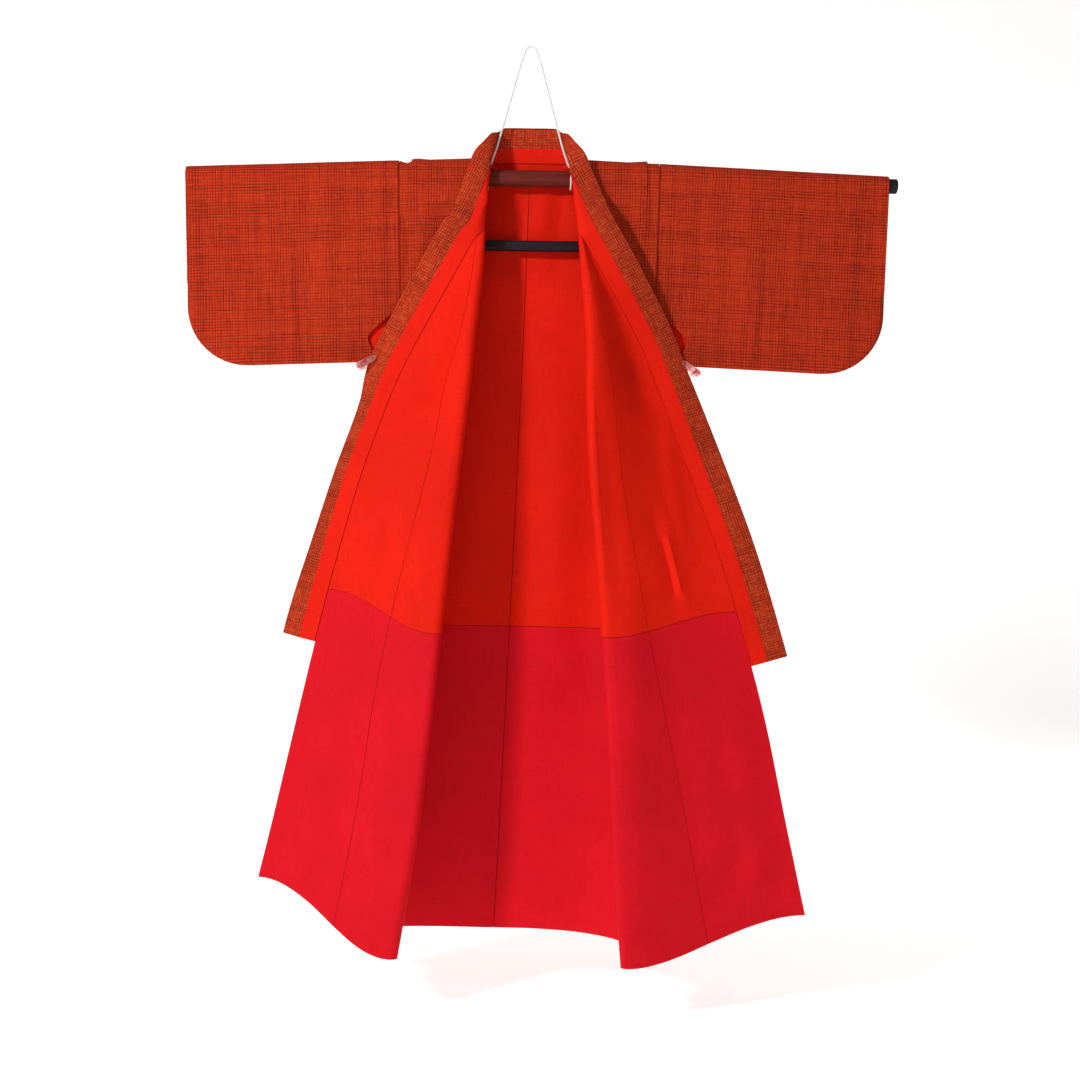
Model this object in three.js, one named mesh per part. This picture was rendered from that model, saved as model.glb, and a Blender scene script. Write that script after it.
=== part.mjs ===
// A lined child's kimono of checked cloth, hung on a rod through both sleeves. The fronts are turned
// open and clipped to the lower corners of the sleeves, so that the red lining faces forward.
// Millimetres, +Z up, +X to the viewer's right, -Y towards the viewer. The origin is the point where
// the white hanging cord of the rod goes over its hook.

import * as THREE from 'three';

// Rod, lower bar and hanging cord.
const cordRise = 198;            // from the rod's axis up to the hook
const cordSpread = 63;           // each knot from the garment's centre
const cordRadius = 1.5;
const hookRadius = 9;            // bend of the cord over its hook
const cordTurn = 1.8 * Math.PI;  // round the rod at each side
const cordPitch = 1.5;           // along the rod in that turn
const cordSteps = 9;             // points of that turn
const cordLean = 6;              // inwards, just above the rod
const rodLeft = -506;            // ends of the rod, caps included
const rodRight = 552;
const rodMiddleRadius = 12.5;
const rodEndRadius = 11;
const rodSag = 4;                // the ends hang this much lower than the middle
const capLength = 16;
const capProfile = [             // its dome, by depth from the end
    { depth: capLength, shrink: 0 },
    { depth: 3, shrink: 0 },
    { depth: 1, shrink: 1.2 },
    { depth: 0, shrink: 3.4 },
];
const barRadius = 8.2;           // black bar under the rod
const barHalfLength = 104;
const barDrop = 101;
const strutSide = 7;
const strutX = 92;

// Cloth: each layer is a wall on one shared form, the outer cloth outside and the lining inside.
const outerWall = [0.15, 1.35];
const liningWall = [-1.35, -0.3];
const seamGap = 0.3;             // between two pieces at a seam
const collarGap = 0.9;           // at the collar's seam, where two slopes meet
const neckGap = 3.0;             // between the body's cut edge and the collar that stands on it
const frontNeckGap = 2.55;       // the same on the front, down to the overlap panel's point

// Cut of the body.
const hemDrop = 1127;            // back hem under the rod's axis
const liningSeamDrop = 672;      // upper lining meets the hem lining
const underarmDrop = 300;        // the side seam starts here
const armSeamDrop = 187;         // the sleeve is sewn on down to here
const shoulderX = 195;           // sleeve seam from the centre back seam
const neckTop = 27;              // back neck seam above the rod's axis
const backDepth = 20;            // the back hangs this far behind the rod
const backLean = 5;              // and this much less far from backLeanDrop down
const backLeanDrop = 400;
const centreSwing = 38.5;        // sideways, at the hem
const centreBend = 1.2;
const armDepthTop = 16.5;        // front and back of the rod's plane, at the sleeve seam
const armDepthSlope = 0.019;
const tuckX = 176;               // outward-facing edge of the shoulder tuck
const tuckLength = 175;
const tuckWidth = 27;
const tuckRise = 3;

// Collar band: red inner half next to the body, then the checked edge that is turned over it.
const bandRed = 24;
const bandCheck = 29;
const bandWall = [-0.48, 0.48];
const bandLayer = 1.25;          // middle of each of its two layers, from the form between them
const redLayer = 2.05;           // middle of the red half, behind that form

// Sleeves, in their own sloping frame.
const sleeveHeight = 299;
const sleeveWidth = { left: 318, right: 342 };
const sleeveCorner = 90;         // radius of the rounded lower corner
const cuffOpening = 168;
const sleeveOverRod = 2.6;       // the cloth's form stands this far off the rod
const sleeveHemHalf = 2.7;       // half its depth just above the lower edge
const cuffHalf = 5;              // and at the cuff
// Under the sewn part the inner edge draws back from the body by flare within reach, and front and
// back meet again at low, at the lower edge.
const sleeveInner = {
    front: { flare: 42, reach: 52 },
    back: { flare: 28, reach: 80 },
    lowFrom: 262,
    low: 36,
};
const armLean = 0.023;           // the sleeve seam leans in by this for each mm down
const shoulderSlope = 0.0419;    // the top line falls this much towards the cuffs
const shoulderTop = 28.6;        // its height beside the neck
const shoulderNeckX = 79;

// Where each vertical line of the open fronts hangs, by height: the side seam, the fold that turns
// the front open (crest), the overlap panel's free edge, the overlap panel's width and the angle
// at which the collar band turns back from the viewer.
const leftFront = [
    { z: -75, sideX: -193, sideY: -14, crestX: -64, crestY: -44, edgeX: -66, edgeY: -46, okumi: -13, turn: 12 },
    { z: -150, sideX: -192, sideY: -13, crestX: -67, crestY: -55, edgeX: -107, edgeY: -46, okumi: 26, turn: 14 },
    { z: -250, sideX: -197, sideY: -12, crestX: -76, crestY: -68, edgeX: -164, edgeY: -25, okumi: 71, turn: 20 },
    { z: -300, sideX: -203, sideY: -7, crestX: -80, crestY: -74, edgeX: -189, edgeY: -22, okumi: 84, turn: 26 },
    { z: -350, sideX: -213, sideY: -14, crestX: -85, crestY: -80, edgeX: -207, edgeY: -33, okumi: 93, turn: 48 },
    { z: -450, sideX: -226, sideY: -25, crestX: -95, crestY: -92, edgeX: -240, edgeY: -52, okumi: 102, turn: 50 },
    { z: -560, sideX: -234, sideY: -34, crestX: -106, crestY: -103, edgeX: -270, edgeY: -60, okumi: 106, turn: 43 },
    { z: -670, sideX: -240, sideY: -42, crestX: -116, crestY: -112, edgeX: -297, edgeY: -66, okumi: 109, turn: 30 },
    { z: -800, sideX: -247, sideY: -49, crestX: -128, crestY: -122, edgeX: -326, edgeY: -72, okumi: 115, turn: 30 },
    { z: -950, sideX: -253, sideY: -56, crestX: -143, crestY: -132, edgeX: -359, edgeY: -76, okumi: 129, turn: 30 },
    { z: -1140, sideX: -257, sideY: -62, crestX: -172, crestY: -141, edgeX: -403, edgeY: -80, okumi: 140, turn: 30 },
];
const rightFront = [
    { z: -75, sideX: 193, sideY: -14, crestX: 73, crestY: -50, edgeX: 66, edgeY: -54, okumi: -15, turn: 8 },
    { z: -150, sideX: 191, sideY: -13, crestX: 79, crestY: -64, edgeX: 111, edgeY: -49, okumi: 26, turn: 10 },
    { z: -250, sideX: 197, sideY: -12, crestX: 87, crestY: -80, edgeX: 168, edgeY: -27, okumi: 74, turn: 18 },
    { z: -300, sideX: 203, sideY: -7, crestX: 88, crestY: -88, edgeX: 189, edgeY: -22, okumi: 87, turn: 22 },
    { z: -350, sideX: 208, sideY: -16, crestX: 89, crestY: -96, edgeX: 208, edgeY: -33, okumi: 96, turn: 20 },
    { z: -450, sideX: 211, sideY: -32, crestX: 94, crestY: -110, edgeX: 244, edgeY: -58, okumi: 111, turn: 14 },
    { z: -560, sideX: 208, sideY: -45, crestX: 104, crestY: -124, edgeX: 284, edgeY: -72, okumi: 128, turn: 12 },
    { z: -670, sideX: 203, sideY: -56, crestX: 113, crestY: -136, edgeX: 318, edgeY: -82, okumi: 141, turn: 12 },
    { z: -800, sideX: 195, sideY: -68, crestX: 122, crestY: -148, edgeX: 353, edgeY: -90, okumi: 149, turn: 12 },
    { z: -950, sideX: 185, sideY: -82, crestX: 130, crestY: -160, edgeX: 385, edgeY: -95, okumi: 150, turn: 12 },
    { z: -1140, sideX: 170, sideY: -94, crestX: 146, crestY: -170, edgeX: 427, edgeY: -99, okumi: 154, turn: 12 },
];
const frontLines = { left: leftFront, right: rightFront };

// How far each line comes down for one unit of the centre back seam: the fronts swing outwards, so
// their hem rises towards the free edge.
const fall = {
    left: { side: 0.997, crest: 1.008, edge: 0.919 },
    right: { side: 1.006, crest: 1.009, edge: 0.955 },
};

// The collar beside the neck, from the back corner to where its fold runs into the body: the seam
// on the body, the fold and the free edge, for the left half and mirrored for the right.
const neckLines = [
    { seam: [-48, 20, 27], fold: [-40, 19, 77], free: [-39.5, 19, 78] },
    { seam: [-56, 17, 27], fold: [-46, 12, 69.5], free: [-46.5, 11.5, 70.5] },
    { seam: [-63, 9, 28], fold: [-50, 0, 65], free: [-51, -1.5, 66.5] },
    { seam: [-69, 1, 28], fold: [-48.5, -9, 58.5], free: [-56, -12, 63] },
    { seam: [-70, -6, 24], fold: [-50.5, -17, 44], free: [-65.5, -20.5, 50.5] },
    { seam: [-69, -13, 12], fold: [-54, -25, 24], free: [-79.5, -28, 33] },
    { seam: [-66, -20, -14], fold: [-60, -33, -16], free: [-89, -30, 6] },
    { seam: [-64, -31, -42], fold: [-60.5, -38, -40], free: [-99, -31, -23] },
];
const neckShoulderRow = 3;       // the row of neckLines on top of the shoulder
const neckBend = 9;              // the fold takes at most this much of the band on each side of it
const backSpan = 0.6;            // of the straight middle of the back collar, to its corners
const rightSpread = 0.1;         // the right half opens wider by this much for each mm down
const bandEnd = { left: -694, right: -720 };

// Clips that hold the free edges to the sleeves.
const clipLength = 33;
const clipWidth = 13;
const clipPlate = 2.2;
const clipStandOff = 1.5;        // of each lever at its middle, and clipSpread at its tail
const clipSpread = 5;
const springAt = 7.5;            // behind the clip's middle
const springReach = 2.2;         // past the jaws, up to 0.3 mm from the levers
const clips = {
    left: { x: -239, z: -279, angle: 30, front: -13.6, back: 4.4 },
    right: { x: 245, z: -283, angle: 142, front: -14.8, back: 4.4 },
};

const red = 0xd8190f;
const crimson = 0xc4152a;
const check = 0xa8321c;

const vec = (x, y, z) => new THREE.Vector3(x, y, z);
const sideSign = (side) => (side === 'left' ? -1 : 1);

// Smooth value of a named column of a table at a height.
function columnAt(table, name, z) {
    const value = (i) => table[i][name];
    const slope = (a, b) => (value(b) - value(a)) / (table[b].z - table[a].z);
    const last = table.length - 1;
    let i = 0;
    while (i < last - 1 && z < table[i + 1].z) i += 1;
    const span = table[i + 1].z - table[i].z;
    const t = THREE.MathUtils.clamp((z - table[i].z) / span, 0, 1);
    const rise = value(i + 1) - value(i);
    const leave = slope(Math.max(i - 1, 0), i + 1) * span - rise;
    const arrive = slope(i, Math.min(i + 2, last)) * span - rise;
    return value(i) + rise * t + t * (1 - t) * ((1 - t) * leave - t * arrive);
}

// A line of points that can be asked for the point at a length.
class Trail {
    constructor(points) {
        this.points = points;
        this.lengths = [0];
        for (let i = 1; i < points.length; i += 1) {
            this.lengths.push(this.lengths[i - 1] + points[i].distanceTo(points[i - 1]));
        }
        this.total = this.lengths[points.length - 1];
    }

    at(length) {
        const want = Math.min(Math.max(length, 0), this.total);
        let i = 1;
        while (i < this.points.length - 1 && this.lengths[i] < want) i += 1;
        const step = this.lengths[i] - this.lengths[i - 1];
        const t = step > 0 ? (want - this.lengths[i - 1]) / step : 0;
        return this.points[i - 1].clone().lerp(this.points[i], t);
    }
}

// A sheet with no thickness, made of rows of points that are joined strip by strip. Points that
// coincide become one.
class Sheet {
    constructor() {
        this.points = [];
        this.faces = [];
        this.known = new Map();
        this.piece = '';
        this.joined = [];
    }

    // The points on the two sides of a seam share one direction, so that the pieces meet squarely.
    join(first, second) {
        first.forEach((point, i) => this.joined.push([this.add(point), this.add(second[i])]));
    }

    add(point) {
        const key = [point.x, point.y, point.z].map((value) => Math.round(value * 1000)).join();
        if (!this.known.has(key)) {
            this.known.set(key, this.points.length);
            this.points.push(point.clone());
        }
        return this.known.get(key);
    }

    // Joins an upper and a lower row, which may have different numbers of points.
    strip(upper, lower, flip) {
        const a = upper.map((point) => this.add(point));
        const b = lower.map((point) => this.add(point));
        if (a.length === b.length) {
            for (let i = 1; i < a.length; i += 1) {
                this.face(a[i - 1], b[i - 1], b[i], flip);
                this.face(a[i - 1], b[i], a[i], flip);
            }
            return;
        }
        const along = (row) => {
            const trail = new Trail(row);
            return trail.lengths.map((length) => (trail.total > 0 ? length / trail.total : 1));
        };
        const ta = along(upper);
        const tb = along(lower);
        let i = 0;
        let j = 0;
        while (i < a.length - 1 || j < b.length - 1) {
            const nextA = i < a.length - 1 ? ta[i] + ta[i + 1] : Infinity;
            const nextB = j < b.length - 1 ? tb[j] + tb[j + 1] : Infinity;
            if (nextB <= nextA) {
                this.face(a[i], b[j], b[j + 1], flip);
                j += 1;
            } else {
                this.face(a[i], b[j], a[i + 1], flip);
                i += 1;
            }
        }
    }

    face(p, q, r, flip) {
        if (p === q || q === r || r === p) return;
        this.faces.push(flip ? [p, r, q, this.piece] : [p, q, r, this.piece]);
    }

    rows(list, flip) {
        for (let i = 1; i < list.length; i += 1) this.strip(list[i - 1], list[i], flip);
    }

    normals() {
        const sums = this.points.map(() => vec(0, 0, 0));
        for (const [p, q, r] of this.faces) {
            const corners = [this.points[p], this.points[q], this.points[r]];
            const edge = corners[1].clone().sub(corners[0]);
            const normal = edge.cross(corners[2].clone().sub(corners[0])).normalize();
            [p, q, r].forEach((index, k) => {
                const toNext = corners[(k + 1) % 3].clone().sub(corners[k]);
                const toLast = corners[(k + 2) % 3].clone().sub(corners[k]);
                sums[index].addScaledVector(normal, toNext.angleTo(toLast));
            });
        }
        for (const sum of sums) sum.normalize();
        for (const [m, n] of this.joined) {
            sums[m].add(sums[n]).normalize();
            sums[n].copy(sums[m]);
        }
        return sums;
    }

    // The closed wall between two distances from the sheet, along its normals, for the faces whose
    // piece is wanted.
    wall([low, high], wanted = () => true) {
        const normals = this.normals();
        const faces = this.faces.filter((face) => wanted(face[3]));
        const place = new Map();
        for (const [p, q, r] of faces) {
            for (const corner of [p, q, r]) if (!place.has(corner)) place.set(corner, place.size);
        }
        const count = place.size;
        const positions = [];
        for (const reach of [low, high]) {
            for (const corner of place.keys()) {
                const point = this.points[corner].clone().addScaledVector(normals[corner], reach);
                positions.push(point.x, point.y, point.z);
            }
        }
        const used = new Set();
        for (const [p, q, r] of faces) {
            for (const [m, n] of [[p, q], [q, r], [r, p]]) used.add(`${m}_${n}`);
        }
        const index = [];
        for (const corners of faces) {
            const [p, q, r] = corners.slice(0, 3).map((corner) => place.get(corner));
            index.push(p + count, q + count, r + count, p, r, q);
            for (let k = 0; k < 3; k += 1) {
                const m = corners[k];
                const n = corners[(k + 1) % 3];
                if (used.has(`${n}_${m}`)) continue;
                const [a, b] = [place.get(m), place.get(n)];
                index.push(a, b, b + count, a, b + count, a + count);
            }
        }
        const geometry = new THREE.BufferGeometry();
        geometry.setAttribute('position', new THREE.Float32BufferAttribute(positions, 3));
        geometry.setIndex(index);
        return geometry;
    }
}

function bezier(start, first, second, end, steps) {
    return new THREE.CubicBezierCurve3(start, first, second, end).getPoints(steps);
}

// The line on which the cloth lies over the shoulder and the sleeve.
function topAt(x) {
    return shoulderTop - shoulderSlope * Math.max(Math.abs(x) - shoulderNeckX, 0);
}

function rodAxisAt(x) {
    const middle = (rodLeft + rodRight) / 2;
    return -rodSag * ((x - middle) / (rodRight - middle)) ** 2;
}

// The centre back seam swings to the left on its way down.
function centreX(z) {
    return -centreSwing * (Math.max(-z, 0) / hemDrop) ** centreBend;
}

// How far front and back hang from the rod's plane along the sleeve seam.
function armDepth(z) {
    return armDepthTop + armDepthSlope * Math.max(Math.min(z, 0), -armSeamDrop);
}

// The sleeve seam's distance from the centre.
function armSeamX(z) {
    return shoulderX - armLean * (topAt(shoulderX) - z);
}

// The body's side line: the sleeve seam, then the open underarm, then the side seam.
function sideLine(side, drop, isBack) {
    const table = frontLines[side];
    const sign = sideSign(side);
    const z = -drop * fall[side].side;
    if (drop >= underarmDrop) return vec(columnAt(table, 'sideX', z), columnAt(table, 'sideY', z), z);
    const open = THREE.MathUtils.smoothstep(-z, armSeamDrop, underarmDrop);
    const x = THREE.MathUtils.lerp(sign * armSeamX(z), columnAt(table, 'sideX', -underarmDrop), open);
    const depth = armDepth(z) * (isBack ? 1 : -1);
    return vec(x, THREE.MathUtils.lerp(depth, columnAt(table, 'sideY', -underarmDrop), open), z);
}

function crestLine(side, drop) {
    const z = -drop * fall[side].crest;
    return vec(columnAt(frontLines[side], 'crestX', z), columnAt(frontLines[side], 'crestY', z), z);
}

function edgeLine(side, drop) {
    const z = -drop * fall[side].edge;
    return vec(columnAt(frontLines[side], 'edgeX', z), columnAt(frontLines[side], 'edgeY', z), z);
}

// Raises the shoulder tuck: full height at its outward edge, nothing at the stitches behind it.
function tuckLift(x, drop) {
    const behind = tuckX - Math.abs(x);
    if (drop > tuckLength || behind < 0 || behind > tuckWidth) return 0;
    return tuckRise * (1 - behind / tuckWidth) * Math.min(1, (tuckLength - drop) / 30);
}

// Back of one half at a drop, from the centre seam out to the side line.
function backTrail(side, drop) {
    const end = sideLine(side, drop, true);
    const depth = backDepth - backLean * Math.min(drop / backLeanDrop, 1);
    const start = vec(centreX(-drop) + sideSign(side) * seamGap / 2, depth, -drop);
    const reach = end.x - start.x;
    const first = vec(start.x + 0.45 * reach, depth + 5, -drop);
    const second = vec(start.x + (drop < underarmDrop ? 0.8 : 0.96) * reach, Math.max(depth, end.y), end.z);
    return new Trail(bezier(start, first, second, end, 16));
}

// Which way the collar band runs at a drop: along the body's edge, over its red half and over its
// checked edge.
function bandDirections(side, drop) {
    const sign = sideSign(side);
    const along = edgeLine(side, drop + 4).sub(edgeLine(side, drop - 4)).normalize();
    const turn = THREE.MathUtils.degToRad(columnAt(frontLines[side], 'turn', edgeLine(side, drop).z));
    const flat = along.clone().cross(vec(0, sign, 0)).normalize();
    const lean = (angle) => flat.clone().multiplyScalar(Math.cos(angle)).add(vec(0, Math.sin(angle), 0));
    return { along, inner: lean(0.35 * turn), outer: lean(turn) };
}

// Front of one half at a drop, from the side line over the crest to the free edge of the overlap.
function frontTrail(side, drop) {
    const sign = sideSign(side);
    const start = sideLine(side, drop, false);
    const crest = crestLine(side, drop);
    const edge = edgeLine(side, drop);
    const grown = (drop - frontDrops[0]) / foldGrowth;
    const radius = Math.min(foldRadius.top + Math.max(grown, 0), foldRadius.full);
    const inward = vec(-sign * Math.cos(foldLean), -Math.sin(foldLean), 0);
    const back = vec(-sign * Math.sin(foldLean), Math.cos(foldLean), 0);
    const centre = crest.clone().addScaledVector(inward, -radius);
    const arc = [];
    for (let i = 0; i <= 8; i += 1) {
        const angle = Math.PI * (0.5 - i / 8);
        const tip = centre.clone().addScaledVector(inward, radius * Math.cos(angle));
        arc.push(tip.addScaledVector(back, radius * Math.sin(angle)));
    }
    const hidden = start.distanceTo(arc[0]);
    const behind = bezier(
        start,
        start.clone().add(vec(-sign * 0.68 * hidden, -0.01 * hidden, 0)),
        arc[0].clone().addScaledVector(inward, -0.16 * hidden),
        arc[0],
        12,
    );
    const open = edge.distanceTo(arc[8]);
    const { inner } = bandDirections(side, drop);
    const front = bezier(
        arc[8],
        arc[8].clone().addScaledVector(inward, -0.3 * open),
        edge.clone().addScaledVector(vec(inner.x, inner.y, 0).normalize(), -0.33 * open),
        edge,
        12,
    );
    const trail = new Trail([...behind, ...arc.slice(1), ...front.slice(1)]);
    trail.foldStart = trail.lengths[12];
    trail.foldMiddle = trail.lengths[16];
    trail.foldEnd = trail.lengths[20];
    trail.seam = trail.total - Math.max(columnAt(frontLines[side], 'okumi', -drop), 0);
    return trail;
}

// Points of a front row up to a length, in three stretches: behind, round the crest and in front.
function frontColumns(trail, drop, to) {
    const { foldStart } = trail;
    const foldEnd = Math.min(trail.foldEnd, to);
    const tuck = tuckMarks.map((x) => shoulderX - x).reverse();
    const even = [0.35, 0.7, 0.92].map((t) => t * foldStart);
    const behind = drop > tuckLength ? [0, ...even, foldStart] : [0, ...tuck, 0.85 * foldStart, foldStart];
    const round = [0, 0.25, 0.5, 0.75, 1].map((t) => THREE.MathUtils.lerp(foldStart, foldEnd, t));
    const steps = Math.round((to - foldEnd) / openSpacing);
    const open = [foldEnd];
    for (let i = 1; i < steps; i += 1) open.push(foldEnd + ((to - foldEnd) * i) / steps);
    if (to > foldEnd + 9) open.push(to - 4);
    if (to > foldEnd) open.push(to);
    return [behind, round, open].map((marks) => marks.map((mark) => {
        const point = trail.at(mark);
        if (mark < foldStart) point.y -= tuckLift(point.x, drop);
        return point;
    }));
}

// A point of the collar's neck rows, mirrored and spread for the right half.
function neckPoint(side, values) {
    const [x, y, z] = values;
    if (side === 'left') return vec(x, y, z);
    return vec(-x + rightSpread * Math.max(30 - z, 0), y, z);
}

// The fold that turns each front open: its bend, and how far it leans towards the viewer.
const foldRadius = { top: 2.5, full: 9 };
const foldGrowth = 14;           // it widens by 1 for each of these further down
const foldLean = THREE.MathUtils.degToRad(14);

// Drops of the rows under the shoulder.
const archZ = 13;                // height of one more row, where the back turns over the rod
const archFrom = 50;             // the turn grows from here, beside the collar
const archTo = 90;
const upperDrops = [5, 40, 100, armSeamDrop, 245];
const lowerDrops = [underarmDrop, 360, 450, 560];
const hemDrops = [780, 900, 1015, hemDrop];
const frontDrops = [84, 104, 128, 155, armSeamDrop, 220, 260, underarmDrop];
const openSpacing = 40;
const okumiTip = 90;             // no overlap panel above this drop
const okumiPoint = 0.75;         // its point, as a share of the way down to its first row
const upperColumns = [24, 52, 80, 115]; // of the upper back, from the centre seam
const tuckMarks = [tuckX - tuckWidth, tuckX - 0.5, tuckX + 1];

// Points of the overlap panel's row, from its seam to the collar.
function okumiColumns(trail) {
    const start = trail.seam + seamGap / 2;
    const width = trail.total - collarGap - start;
    return [0, 0.5, 0.88, 1].map((t) => trail.at(start + width * t));
}

// One half of the body, from the back hem over the shoulder to the front hem, with its overlap
// panel. Each face is labelled with the lining's piece and with body, seam or overlap.
function halfSheet(side) {
    const sheet = new Sheet();
    const sign = sideSign(side);
    const flip = side === 'right';
    const backRow = (drop) => {
        const trail = backTrail(side, drop);
        return [0, 0.25, 0.5, 0.75, 1].map((t) => trail.at(trail.total * t));
    };
    const frontRow = (drop) => {
        const trail = frontTrail(side, drop);
        const isTip = drop < okumiTip;
        return frontColumns(trail, drop, isTip ? trail.foldMiddle - frontNeckGap : trail.seam - seamGap / 2);
    };
    const stretches = [0, 1, 2].map((i) => (drop) => frontRow(drop)[i]);
    const drape = (drops, makeRow, column, lining) => {
        sheet.piece = `${lining} ${column}`;
        sheet.rows(drops.map(makeRow), flip);
    };
    const tip = frontTrail(side, frontDrops[0]);
    const below = frontTrail(side, frontDrops[1]);
    const tipPoint = tip.at(tip.foldMiddle).lerp(below.at((below.seam + below.total) / 2), okumiPoint);
    const okumiRow = (drop) => (drop < okumiTip ? [tipPoint] : okumiColumns(frontTrail(side, drop)));
    const seamRow = (drop) => [frontRow(drop)[2].at(-1), okumiColumns(frontTrail(side, drop))[0]];
    const lengths = {
        doura: [...lowerDrops, liningSeamDrop - seamGap / 2],
        join: [liningSeamDrop - seamGap / 2, liningSeamDrop + seamGap / 2],
        hakkake: [liningSeamDrop + seamGap / 2, ...hemDrops],
    };
    for (const [lining, drops] of Object.entries(lengths)) {
        const panel = lining === 'doura' ? [...frontDrops, ...lowerDrops.slice(1), drops.at(-1)] : drops;
        drape(drops, backRow, 'body', lining);
        for (const stretch of stretches) drape(drops, stretch, 'body', lining);
        drape(panel, okumiRow, 'overlap', lining);
        const sewn = panel.filter((drop) => drop > okumiTip);
        drape(sewn, seamRow, 'seam', lining);
        for (const [first, second] of sewn.map(seamRow)) sheet.join([first], [second]);
        if (lining === 'join') {
            for (const row of [backRow, ...stretches, okumiRow]) sheet.join(row(drops[0]), row(drops[1]));
        }
    }
    sheet.piece = 'doura body';

    // Shoulder line from the neck to the sleeve seam, and the back neck line before it.
    const neckEnd = neckPoint(side, neckLines[neckShoulderRow].seam);
    const neckSide = Math.abs(neckEnd.x) + neckGap;
    const ridge = [neckSide, ...tuckMarks, shoulderX].map((x) => (
        vec(sign * x, x === neckSide ? neckEnd.y : 0, topAt(x) + tuckLift(x, 0))
    ));
    const neck = [vec(sign * seamGap / 2, backDepth, neckTop - 2 * seamGap)];
    neck.push(vec(sign * upperColumns[0], backDepth, neckTop - 2 * seamGap));
    for (const { seam } of neckLines.slice(0, neckShoulderRow)) {
        const point = neckPoint(side, seam);
        neck.push(vec(point.x + sign * 0.7, point.y, point.z - 3 * seamGap));
    }
    const upperRow = (drop) => {
        const trail = backTrail(side, drop);
        const marks = [0, ...upperColumns, ...tuckMarks].map((x) => Math.min(x, trail.total - 1));
        if (drop > tuckLength) return backRow(drop);
        return [...marks, trail.total].map((mark) => {
            const point = trail.at(mark);
            point.y += tuckLift(point.x, drop);
            return point;
        });
    };
    const overRod = upperRow(upperDrops[0]).map((point) => {
        const rise = (archZ + upperDrops[0]) / (topAt(point.x) + upperDrops[0]);
        const share = THREE.MathUtils.smoothstep(Math.abs(point.x), archFrom, archTo);
        const round = share * (1 - Math.sqrt(1 - rise ** 2));
        return vec(point.x, point.y * (1 - round), archZ);
    });
    sheet.rows([[...neck, ...ridge], overRod, ...upperDrops.map(upperRow), backRow(underarmDrop)], flip);

    // Front beside the neck, from the sleeve seam in to the collar's seam.
    const beside = neckLines.slice(neckShoulderRow + 1).map(({ seam }) => {
        const end = neckPoint(side, seam);
        end.x += sign * neckGap;
        const top = topAt(shoulderX);
        const z = Math.min(end.z, top - 1);
        const arch = Math.min((top - z) / (top + 4), 1);
        const start = sideLine(side, Math.max(-z, 0), false);
        start.z = z;
        start.y = -armDepth(z) * Math.sqrt(1 - (1 - arch) ** 2);
        const lean = Math.abs(start.x - end.x);
        const trail = new Trail(bezier(
            start,
            start.clone().add(vec(-sign * 0.5 * lean, 0, 0)),
            end.clone().add(vec(sign * 0.35 * lean, 0.2 * (start.y - end.y), 0)),
            end,
            12,
        ));
        const marks = tuckMarks.map((x) => shoulderX - x).reverse();
        return [0, ...marks, 0.7 * trail.total, trail.total].map((mark) => {
            const point = trail.at(mark);
            point.y -= tuckLift(point.x, Math.max(-z, 0));
            return point;
        });
    });
    const top = frontRow(frontDrops[0]);
    sheet.rows([ridge.slice().reverse(), ...beside, [...top[0], ...top[1].slice(1)]], flip);
    for (const stretch of stretches) sheet.rows(frontDrops.map(stretch), flip);
    return sheet;
}

// One station across the collar band: points from the body seam to the free edge with the
// direction out of the cloth at each, and the lengths from the seam.
function bandAcross(points, along) {
    const trail = new Trail(points);
    const outward = points.map((point, i) => {
        const last = points[Math.max(i - 1, 0)];
        const next = points[Math.min(i + 1, points.length - 1)];
        return next.clone().sub(last).cross(along).normalize();
    });
    return { trail, outward };
}

// Rounds the fold of a neck station with a short curve.
function neckAcross(side, { seam, fold, free }) {
    const start = neckPoint(side, seam);
    const middle = neckPoint(side, fold);
    const end = neckPoint(side, free);
    const before = Math.min(neckBend, 0.45 * start.distanceTo(middle));
    const after = Math.min(neckBend, 0.45 * end.distanceTo(middle));
    const into = middle.clone().lerp(start, before / start.distanceTo(middle));
    const out = middle.clone().lerp(end, after / end.distanceTo(middle));
    const bend = new THREE.QuadraticBezierCurve3(into, middle, out).getPoints(4);
    return [start, start.clone().lerp(into, 0.5), ...bend, out.clone().lerp(end, 0.5), end];
}

// Stations of the collar band on one side, from the back corner down to its end.
function bandStations(side) {
    const sign = sideSign(side);
    const stations = [];
    const tables = neckLines.map((row) => neckAcross(side, row));
    tables.forEach((points, i) => {
        const last = tables[Math.max(i - 1, 0)][0];
        const next = tables[Math.min(i + 1, tables.length - 1)][0];
        stations.push(bandAcross(points, next.clone().sub(last).multiplyScalar(sign)));
    });
    const drops = [...frontDrops, ...lowerDrops.slice(1), liningSeamDrop, bandEnd[side] / -fall[side].edge];
    for (const drop of drops) {
        const { along, inner, outer } = bandDirections(side, drop);
        const trail = frontTrail(side, drop);
        const { foldMiddle, foldEnd } = trail;
        const isTip = drop < okumiTip;
        const lead = isTip ? [foldMiddle, (foldMiddle + foldEnd) / 2, foldEnd].map((mark) => trail.at(mark)) : [];
        const seam = isTip ? lead.pop() : edgeLine(side, drop);
        const ridge = seam.clone().addScaledVector(inner, bandRed - (isTip ? foldEnd - foldMiddle : 0));
        const points = [...lead, seam, ridge, ridge.clone().addScaledVector(outer, bandCheck)];
        stations.push(bandAcross(points, along.multiplyScalar(sign)));
    }
    return stations;
}

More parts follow.
